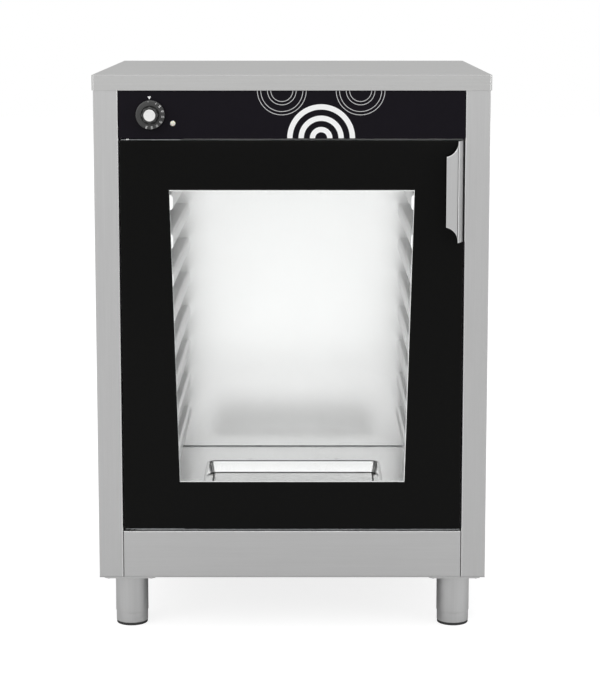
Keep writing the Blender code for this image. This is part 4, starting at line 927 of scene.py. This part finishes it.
class CABINET_OT_pointer(Operator):
    """Print the triangle over the dial"""

    bl_idname = "cabinet.pointer"
    bl_label = "Dial Pointer"

    def execute(self, context):
        p = context.scene.cabinet.marks
        _, high, centre, _ = measure("knob_dial", "Y")
        x, tip = centre[0] - p.pointer_left, high.z + p.pointer_rise
        half, top = p.pointer / 2, tip + p.pointer * POINTER_HEIGHT
        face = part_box("control_panel")[0].y - HAIR / 2
        outline = [(x, tip), (x + half, top), (x - half, top)]
        add_piece("dial_pointer", plate(outline, face, face - p.ink), "White Ink", "cabinet")
        return {"FINISHED"}


class CABINET_OT_controls(Operator):
    """Make the pilot lamp, the thermostat, the terminal block and the mains gland"""

    bl_idname = "cabinet.controls"
    bl_label = "Lamp and Wiring Parts"

    def execute(self, context):
        edges = context.scene.cabinet.edges
        low, high, centre, radius = measure("pilot_lamp_lens", "Y")
        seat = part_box("control_panel")[0].y
        proud = seat - low.y
        glow, neck = (radius * part for part in LENS_SIZES)
        rim, inner = seat - proud * LENS_RIM, glow + HAIR
        dome = [(glow * cos(a), rim - (rim - low.y) * sin(a)) for a in map(radians, range(0, 81, 10))]
        profile = [(0, high.y), (neck, high.y), (neck, seat - 3 * HAIR), (glow, seat - 3 * HAIR)] + dome + [(0, low.y)]
        outside, inside = (seat - proud * part for part in RING_TOPS)
        ring = [(inner, seat - HAIR), (radius, seat - HAIR), (radius, outside), (inner, inside)]
        add_piece("pilot_lamp_ring", turned(ring, centre, "Y", ring=True), "Black Plastic", "cabinet")
        replace_node("pilot_lamp_lens", turned(profile, centre, "Y"), "Lamp Lens")
        dress("pilot_lamp_body", edges.sheet, "White Plastic")
        dress("thermostat_body", edges.bar, "Black Plastic")
        dress("terminal_block", edges.sheet, "White Plastic")
        dress("mains_gland", edges.sheet, "Black Plastic")
        return {"FINISHED"}


def loop_on_face(node, y):
    """A solid's corner points on one plane of Y, in order round its middle."""
    x, z = measure(node, "Y")[2]
    corners = [v.co for v in frame["nodes"][node].data.vertices if abs(v.co.y - y) < WELD]
    return sorted({(round(v.x, 6), round(v.z, 6)) for v in corners}, key=lambda p: atan2(p[1] - z, p[0] - x))


def window_corners():
    """The window's four corners in the door's printed border, in order from the lower left."""
    low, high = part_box("door_border")
    points = [p for p in loop_on_face("door_border", low.y) if low.x + WELD < p[0] < high.x - WELD]
    left, right = [p for p in points if p[0] < 0], [p for p in points if p[0] > 0]
    return [min(left, key=lambda p: p[1]), min(right, key=lambda p: p[1]),
            max(right, key=lambda p: p[1]), max(left, key=lambda p: p[1])]


def grown(corners, margin):
    """Four corners moved outward by a margin along both axes."""
    signs = ((-1, -1), (1, -1), (1, 1), (-1, 1))
    return [(x + sx * margin, z + sz * margin) for (x, z), (sx, sz) in zip(corners, signs)]


class CABINET_OT_door_glass(Operator):
    """Make the door's printed glass, its clear window and the inner pane"""

    bl_idname = "cabinet.door_glass"
    bl_label = "Door Glass"

    def execute(self, context):
        settings = context.scene.cabinet
        low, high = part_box("door_glass")
        corners = window_corners()
        rim_front, rim_back = loop_on_face("door_glass", low.y), loop_on_face("door_glass", high.y)
        chamfer = abs(rim_back[0][0] - rim_front[0][0])
        outer = ((rim_front, low.y), (rim_back, low.y + chamfer), (rim_back, high.y))
        add_piece("door_glass_print", windowed(outer, corners), "Black Print", "door", ["door_border"])

        pane = plate(grown(corners, -HAIR), low.y, high.y)
        replace_node("door_glass", pane, "Clear Glass")
        left, right, foot, head = [settings.details.window_line * part for part in LINE_SIDES]
        inner = [(x + dx, z + dz) for (x, z), (dx, dz) in
                 zip(corners, ((left, foot), (-right, foot), (-right, -head), (left, -head)))]
        near, far = high.y + HAIR, high.y + 2 * HAIR
        rows = ((corners, near), (inner, near), (inner, far), (corners, far))
        trim = lofted([[(x, y, z) for x, z in loop] for loop, y in rows], ring=True)
        add_piece("window_line", trim, "Polished Steel", "door")
        dress("door_inner_glass", settings.edges.bar, "Clear Glass")
        return {"FINISHED"}


class CABINET_OT_door_frame(Operator):
    """Make the door's pan, the inner pane's clamp, the seal and the magnet"""

    bl_idname = "cabinet.door_frame"
    bl_label = "Door Frame"

    def execute(self, context):
        edges = context.scene.cabinet.edges
        dress("door_pan", edges.sheet, "Chamber Steel")
        dress("inner_glass_clamp", edges.sheet, "Galvanised Steel")
        dress("door_gasket", edges.seal, "Black Rubber", 3)
        dress("door_magnet", edges.bar, "Black Plastic")
        return {"FINISHED"}


class CABINET_OT_handle(Operator):
    """Make the door's handle and its screws"""

    bl_idname = "cabinet.handle"
    bl_label = "Handle"

    def execute(self, context):
        settings = context.scene.cabinet
        low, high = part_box("door_handle")
        bm = cad_copy("door_handle")
        front = max((face for face in bm.faces if face.calc_center_median().y < low.y + WELD), key=BMFace.calc_area)
        rim, width = list(front.verts), settings.edges.handle
        fold = max(vertex.co.x for vertex in rim)
        # The chamfer round the handle's front, away from the fold, takes the brighter steel: a painted highlight along
        # the handle's edge.
        for face in bmesh.ops.inset_individual(bm, faces=[front], thickness=width)["faces"]:
            face.material_index = int(face.calc_center_median().x < fold - width)
        for vertex in rim:
            if vertex.co.x < fold - WELD:
                vertex.co.y += width / 2
        round_edges(bm, settings.edges.sheet)
        paint_highlight_steel(replace_node("door_handle", bm, "Cabinet Steel"))
        depth, rise = high.y - settings.details.screw_inset * HANDLE_INSET, high.z - low.z
        places = [(high.x, depth, low.z + rise * part) for part in HANDLE_SCREWS]
        screws("handle_screws", places, settings.details.small_screw, 4 * HAIR, (1, 0, 0), "door")
        return {"FINISHED"}


class CABINET_OT_hinges(Operator):
    """Make the hinge plates, pins, brackets and washer"""

    bl_idname = "cabinet.hinges"
    bl_label = "Hinges"

    def execute(self, context):
        edges = context.scene.cabinet.edges
        for end in ("top", "bottom"):
            dress(f"hinge_plate_{end}", edges.sheet, "Galvanised Steel")
            dress(f"hinge_bracket_{end}", edges.bar, "Galvanised Steel")
        dress("hinge_pin_top", edges.sheet, "Polished Steel")
        dress("hinge_pin_bottom", edges.sheet, "Galvanised Steel")
        dress("hinge_washer", HAIR, "Dial Plastic")
        return {"FINISHED"}


class CABINET_OT_chamber(Operator):
    """Make the chamber's lining, the screws in its floor, and the seam and upstand at the floor's back"""

    bl_idname = "cabinet.chamber"
    bl_label = "Chamber"

    def execute(self, context):
        settings = context.scene.cabinet
        for side in ("left", "right", "back"):
            dress(f"liner_{side}", settings.edges.sheet, "Chamber Steel")
        for level in ("ceiling", "floor"):
            dress(f"liner_{level}", settings.edges.sheet, "Chamber Floor Steel")
        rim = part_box("water_basin")[1]
        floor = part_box("liner_floor")[1]
        radius = settings.details.small_screw
        places = [(side * rim.x / 2, rim.y + 5 * radius, floor.z) for side in (-1, 1)]
        screws("floor_screws", places, radius, radius / 2, (0, 0, 1), "cabinet")
        seam, half, back = settings.details.seam, floor.x - HAIR, floor.y
        for name, finish, slot, foot, deep in (
                ("floor_seam", "Galvanised Steel", "galvanised_steel", floor.z + HAIR, seam),
                ("floor_upstand", "Polished Steel", "polished_steel", floor.z + seam, seam / 2)):
            top = foot + seam - HAIR
            outline = [(back - deep, foot), (back, foot), (back, top), (back - deep / 2, top)]
            add_piece(name, bar(outline, (-half, half)), finish, "cabinet")
        return {"FINISHED"}


class CABINET_OT_racks(Operator):
    """Make the tray racks"""

    bl_idname = "cabinet.racks"
    bl_label = "Tray Racks"

    def execute(self, context):
        edges = context.scene.cabinet.edges
        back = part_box("liner_floor")[1].y
        for side, way in (("left", -1), ("right", 1)):
            node = f"tray_rack_{side}"
            low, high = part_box(node)
            wall, nose = (low.x, high.x) if way < 0 else (high.x, low.x)
            points = {(round(v.co.x, 5), round(v.co.z, 5)) for v in frame["nodes"][node].data.vertices}
            noses = sorted({z for x, z in points if abs(x - nose) < WELD}, reverse=True)
            face = min({x for x, z in points}, key=lambda x: abs(abs(x) - abs(wall) + MM))
            slants = sorted({z for x, z in points if abs(x - face) < WELD}, reverse=True)
            outline, radii, fold = [(face, high.z)], [0], edges.rack_fold
            for top, foot in zip(noses[::2], noses[1::2]):
                slant = max(z for z in slants if z < foot)
                outline += [(face, top), (nose, top), (nose, foot), (face, slant)]
                radii += [fold / 2, fold, fold, fold]
            outline += [(face, low.z), (wall, low.z), (wall, high.z)]
            bm = plate(filleted(outline, radii + [0, 0, 0]), low.y, back - edges.joint)
            round_edges(bm, edges.bar, 3, lambda edge: all(v.co.y < low.y + WELD for v in edge.verts))
            replace_node(node, bm, "Rack Steel")
        return {"FINISHED"}


class CABINET_OT_basin(Operator):
    """Make the lift-out water basin"""

    bl_idname = "cabinet.basin"
    bl_label = "Water Basin"

    def execute(self, context):
        d = context.scene.cabinet.details
        low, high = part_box("water_basin")
        gauge, fillet, bead = d.basin_gauge, d.basin_fillet, d.basin_bead
        corner, under, wall = d.basin_corner + d.basin_rim, high.z - gauge, -d.basin_draft - fillet
        outside = arc((wall, low.z + gauge + fillet), fillet + gauge, -90, -WALL_LEAN, 6)
        inside = arc((wall, low.z + gauge + fillet), fillet, -WALL_LEAN, -90, 6)
        brim = arc((d.basin_rim - gauge / 2, under + gauge / 2), gauge / 2, -90, 90, 6)
        lip = arc((gauge, high.z - gauge), gauge, 90, 180, 5)
        levels = [(d.basin_rim - margin, z) for margin, z in outside + [(gauge, under)] + brim + lip + inside]
        replace_node("water_basin", lofted(rounded_loops(levels, low, high, corner)), "Basin Steel")
        # painted shade: a dark strip along the basin's rear rim stands for the shaded line there
        outer, inner, foot, top = d.basin_rim - gauge / 2, d.basin_rim + bead, high.z - bead, high.z + HAIR
        edges = rounded_loops([(outer, foot), (outer, top), (inner, top), (inner, foot)], low, high, corner)
        rear = zip(*[loop[:2 * CORNER_STEPS + 2] for loop in edges])
        add_piece("basin_bead", lofted([list(loop) for loop in rear]), "Black Rubber", "basin")
        return {"FINISHED"}


class CABINET_OT_heater(Operator):
    """Make the heater's tray and element, and the thermostat's bulb and tube"""

    bl_idname = "cabinet.heater"
    bl_label = "Heater"

    def execute(self, context):
        edges = context.scene.cabinet.edges
        dress("heater_tray", edges.sheet, "Galvanised Steel")
        dress("heating_element", HAIR, "Element Sheath", 1)
        dress("thermostat_bulb", edges.sheet, "Copper")
        dress("capillary_tube", HAIR, "Copper", 1)
        return {"FINISHED"}


class CABINET_OT_legs(Operator):
    """Make the four legs, their screw feet and the rubber pads"""

    bl_idname = "cabinet.legs"
    bl_label = "Legs"

    def execute(self, context):
        d = context.scene.cabinet.details
        for corner in CORNERS:
            self.make_tube(d, f"leg_tube_{corner}")
            self.make_foot(d, corner)
            self.make_plate(d, corner)
        return {"FINISHED"}

    def make_plate(self, d, corner):
        """The flat plate that joins a leg to the base, and its four screws."""
        x, y = measure(f"leg_tube_{corner}")[2]
        centre, half = Vector((x, y, 0)), Vector((d.leg_plate / 2, d.leg_plate / 2, 0))
        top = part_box("base_panel")[0].z - HAIR
        foot = top - d.plate_gauge
        bm = lofted(rounded_loops([(0, foot), (0, top)], centre - half, centre + half, 2 * d.screw_head))
        edge = d.plate_gauge * 0.4
        round_edges(bm, edge, 4, lambda e: all(v.co.z < foot + WELD for v in e.verts))
        add_piece(f"leg_plate_{corner}", bm, "Leg Steel", "cabinet")
        reach = d.leg_plate / 2 - 2 * d.screw_head
        places = [(x + across * reach, y + along * reach, foot) for across in (-1, 1) for along in (-1, 1)]
        screws(f"leg_screws_{corner}", places, d.screw_head, d.screw_height, (0, 0, -1), "cabinet")

    def make_tube(self, d, node):
        """The hollow tube, with a hole in each end for the foot's stem."""
        low, high, centre, radius = measure(node)
        edge, rim, half = d.leg_edge, d.leg_edge * 0.4, d.leg_edge / 2
        hole, wall = measure(node.replace("tube", "foot"))[3] * STEM_HOLE, radius - 1.5 * edge
        floor, roof = low.z + 3 * edge, high.z - 3 * edge
        profile = [(hole, low.z)] + arc((radius - rim, low.z + rim), rim, -90, 0, 5)
        profile += arc((radius - half, high.z - half), half, 0, 90, 3)
        profile += [(hole, high.z), (hole, roof), (wall, roof), (wall, floor), (hole, floor)]
        replace_node(node, turned(profile, centre, ring=True), "Leg Steel")

    def make_foot(self, d, corner):
        """The foot with its threaded stem, and the rubber pad under it."""
        node = f"leg_foot_{corner}"
        low, high, centre, radius = measure(node)
        stem, top = radius * STEM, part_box(f"leg_tube_{corner}")[0].z - 3 * HAIR
        edge, half = d.leg_edge, d.leg_edge / 2
        thread = [(stem - half * (i % 2), top + (i + 1) * edge) for i in range(int((high.z - top) / edge) - 1)]
        shell = [(0, d.pad), (radius - edge, d.pad)] + arc((radius - edge, d.pad + edge), edge, -80, 0, 6)
        shell += arc((radius - half, top - half), half, 0, 90, 4)
        replace_node(node, turned(shell + [(stem, top)] + thread + [(0, high.z)], centre), "Leg Steel")
        rim = radius - half
        pad = [(0, low.z)] + arc((rim - d.foot_edge, low.z + d.foot_edge), d.foot_edge, -90, 0, 6)
        pad += [(rim, d.pad - HAIR), (0, d.pad - HAIR)]
        add_piece(f"foot_pad_{corner}", turned(pad, centre), "Black Rubber", BODY_OF[node])


def add_lamp(name, place, target, size, watts):
    """A rectangular lamp that shines from its place to a target and isn't seen itself."""
    lamp = bpy.data.lights.new(name, "AREA")
    lamp.shape = "RECTANGLE"
    lamp.size, lamp.size_y = size
    lamp.energy = watts
    holder = bpy.data.objects.new(name, lamp)
    holder.location = place
    holder.rotation_euler = (Vector(target) - Vector(place)).to_track_quat("-Z", "Y").to_euler()
    holder.visible_camera = False
    bpy.context.scene.collection.objects.link(holder)


class CABINET_OT_stage(Operator):
    """Make the floor, the white surroundings, the lamps and the camera"""

    bl_idname = "cabinet.stage"
    bl_label = "Stage"

    def execute(self, context):
        stage = context.scene.cabinet.stage
        self.make_floor(stage)
        self.make_world(context.scene, stage)
        for name, place, size in LAMPS:
            add_lamp(f"{name}_lamp", place, HEART, size, getattr(stage, f"{name}_power"))
        self.light_chamber(stage)
        camera = bpy.data.objects.new("camera", bpy.data.cameras.new("camera"))
        camera.location = stage.eye
        camera.rotation_euler = (pi / 2 - stage.tilt, 0, 0)
        camera.data.lens = stage.lens
        camera.data.shift_x = stage.shift_x
        camera.data.shift_y = stage.shift_y
        context.scene.collection.objects.link(camera)
        context.scene.camera = camera
        context.scene.view_settings.view_transform = "Standard"
        return {"FINISHED"}

    def light_chamber(self, stage):
        """Strips round the inside of the mouth, which shine on the back wall."""
        x, ceiling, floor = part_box("liner_right")[0].x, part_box("liner_ceiling")[0].z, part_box("liner_floor")[1].z
        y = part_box("liner_right")[0].y - MM
        (corner, sill), _, (_, head), _ = window_corners()
        half, wide = abs(corner), 2 * abs(corner)
        side = ((x + half) / 2, (floor + ceiling) / 2)
        strips = (("left", -side[0], side[1], (x - half, ceiling - floor), stage.side_glow),
                  ("right", side[0], side[1], (x - half, ceiling - floor), stage.side_glow),
                  ("low", 0, (floor + sill) / 2, (wide, sill - floor), stage.foot_glow),
                  ("high", 0, (ceiling + head) / 2, (wide, ceiling - head), stage.head_glow))
        for name, across, up, size, glow in strips:
            watts = pi * size[0] * size[1] * glow
            add_lamp(f"chamber_lamp_{name}", (across, y, up), (across, y + 1, up), size, watts)

    def make_floor(self, stage):
        """A pale floor that the camera sees almost white, with the cabinet's shadow on it."""
        half = stage.room / 2
        bm = bmesh.new()
        corners = ((-half, -half), (half, -half), (half, half), (-half, half))
        bm.faces.new([bm.verts.new((x, y, 0)) for x, y in corners])
        mesh = bpy.data.meshes.new("floor")
        bm.to_mesh(mesh)
        bm.free()
        tree, shader = new_material("Studio Floor", 0.9, Emission_Color=(1, 1, 1, 1))
        marks = use_group(tree, "Hand Marks", Size=2.0)["Marks"]
        path = add_node(tree, "ShaderNodeLightPath").outputs
        grey, gloss = (stage.floor_colour,) * 3, (stage.floor_gloss,) * 3
        plain = mixed(opaque(grey, 0.985), opaque(grey, 1.015), marks)
        feed(mixed(plain, opaque(gloss), path["Is Glossy Ray"]), shader.inputs["Base Color"])
        glow = maths("MAXIMUM", times(path["Is Camera Ray"], stage.floor_glow),
                     times(path["Is Transmission Ray"], stage.floor_glass))
        feed(glow, shader.inputs["Emission Strength"])
        mesh.materials.append(bpy.data.materials["Studio Floor"])
        floor = bpy.data.objects.new("floor", mesh)
        bpy.context.scene.collection.objects.link(floor)

    def make_world(self, scene, stage):
        """Soft light from all round, which is plain white to the camera, to gloss and through glass."""
        world = bpy.data.worlds.new("Studio")
        world.use_nodes = True
        backdrop = world.node_tree.nodes["Background"].inputs
        backdrop["Color"].default_value = (1, 1, 1, 1)
        path = add_node(world.node_tree, "ShaderNodeLightPath").outputs
        direct = maths("MAXIMUM", path["Is Camera Ray"], path["Is Glossy Ray"])
        direct = maths("MAXIMUM", direct, path["Is Transmission Ray"])
        feed(plus(times(direct, 1 - stage.fill), stage.fill), backdrop["Strength"])
        scene.world = world


class CABINET_PT_panel(Panel):
    """Lists the cabinet's settings and the buttons that make its pieces"""

    bl_idname = "CABINET_PT_panel"
    bl_label = "Proofing Cabinet"
    bl_space_type = "VIEW_3D"
    bl_region_type = "UI"
    bl_category = "Cabinet"

    def draw(self, context):
        for operator in OPERATORS:
            self.layout.operator(operator.bl_idname)
        settings = context.scene.cabinet
        for group in (settings.finishes, settings.edges, settings.marks, settings.details, settings.stage):
            box = self.layout.box()
            for name in group.__annotations__:
                box.prop(group, name)


SETTINGS = (CabinetFinishes, CabinetEdges, CabinetPrint, CabinetDetails, CabinetStage, CabinetSettings)
OPERATORS = (
    CABINET_OT_finishes, CABINET_OT_stage, CABINET_OT_worktop, CABINET_OT_case, CABINET_OT_rear_screws,
    CABINET_OT_panel, CABINET_OT_print, CABINET_OT_knob, CABINET_OT_pointer, CABINET_OT_controls,
    CABINET_OT_door_glass, CABINET_OT_door_frame, CABINET_OT_handle, CABINET_OT_hinges, CABINET_OT_chamber,
    CABINET_OT_racks, CABINET_OT_basin, CABINET_OT_heater, CABINET_OT_legs,
)


def register():
    for cls in (*SETTINGS, *OPERATORS, CABINET_PT_panel):
        bpy.utils.register_class(cls)
    bpy.types.Scene.cabinet = PointerProperty(type=CabinetSettings)


def unregister():
    del bpy.types.Scene.cabinet
    for cls in reversed((*SETTINGS, *OPERATORS, CABINET_PT_panel)):
        bpy.utils.unregister_class(cls)


def main():
    """Register the add-on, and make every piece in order."""
    register()
    for operator in OPERATORS:
        family, name = operator.bl_idname.split(".")
        getattr(getattr(bpy.ops, family), name)()


if __name__ == "__main__":
    main()
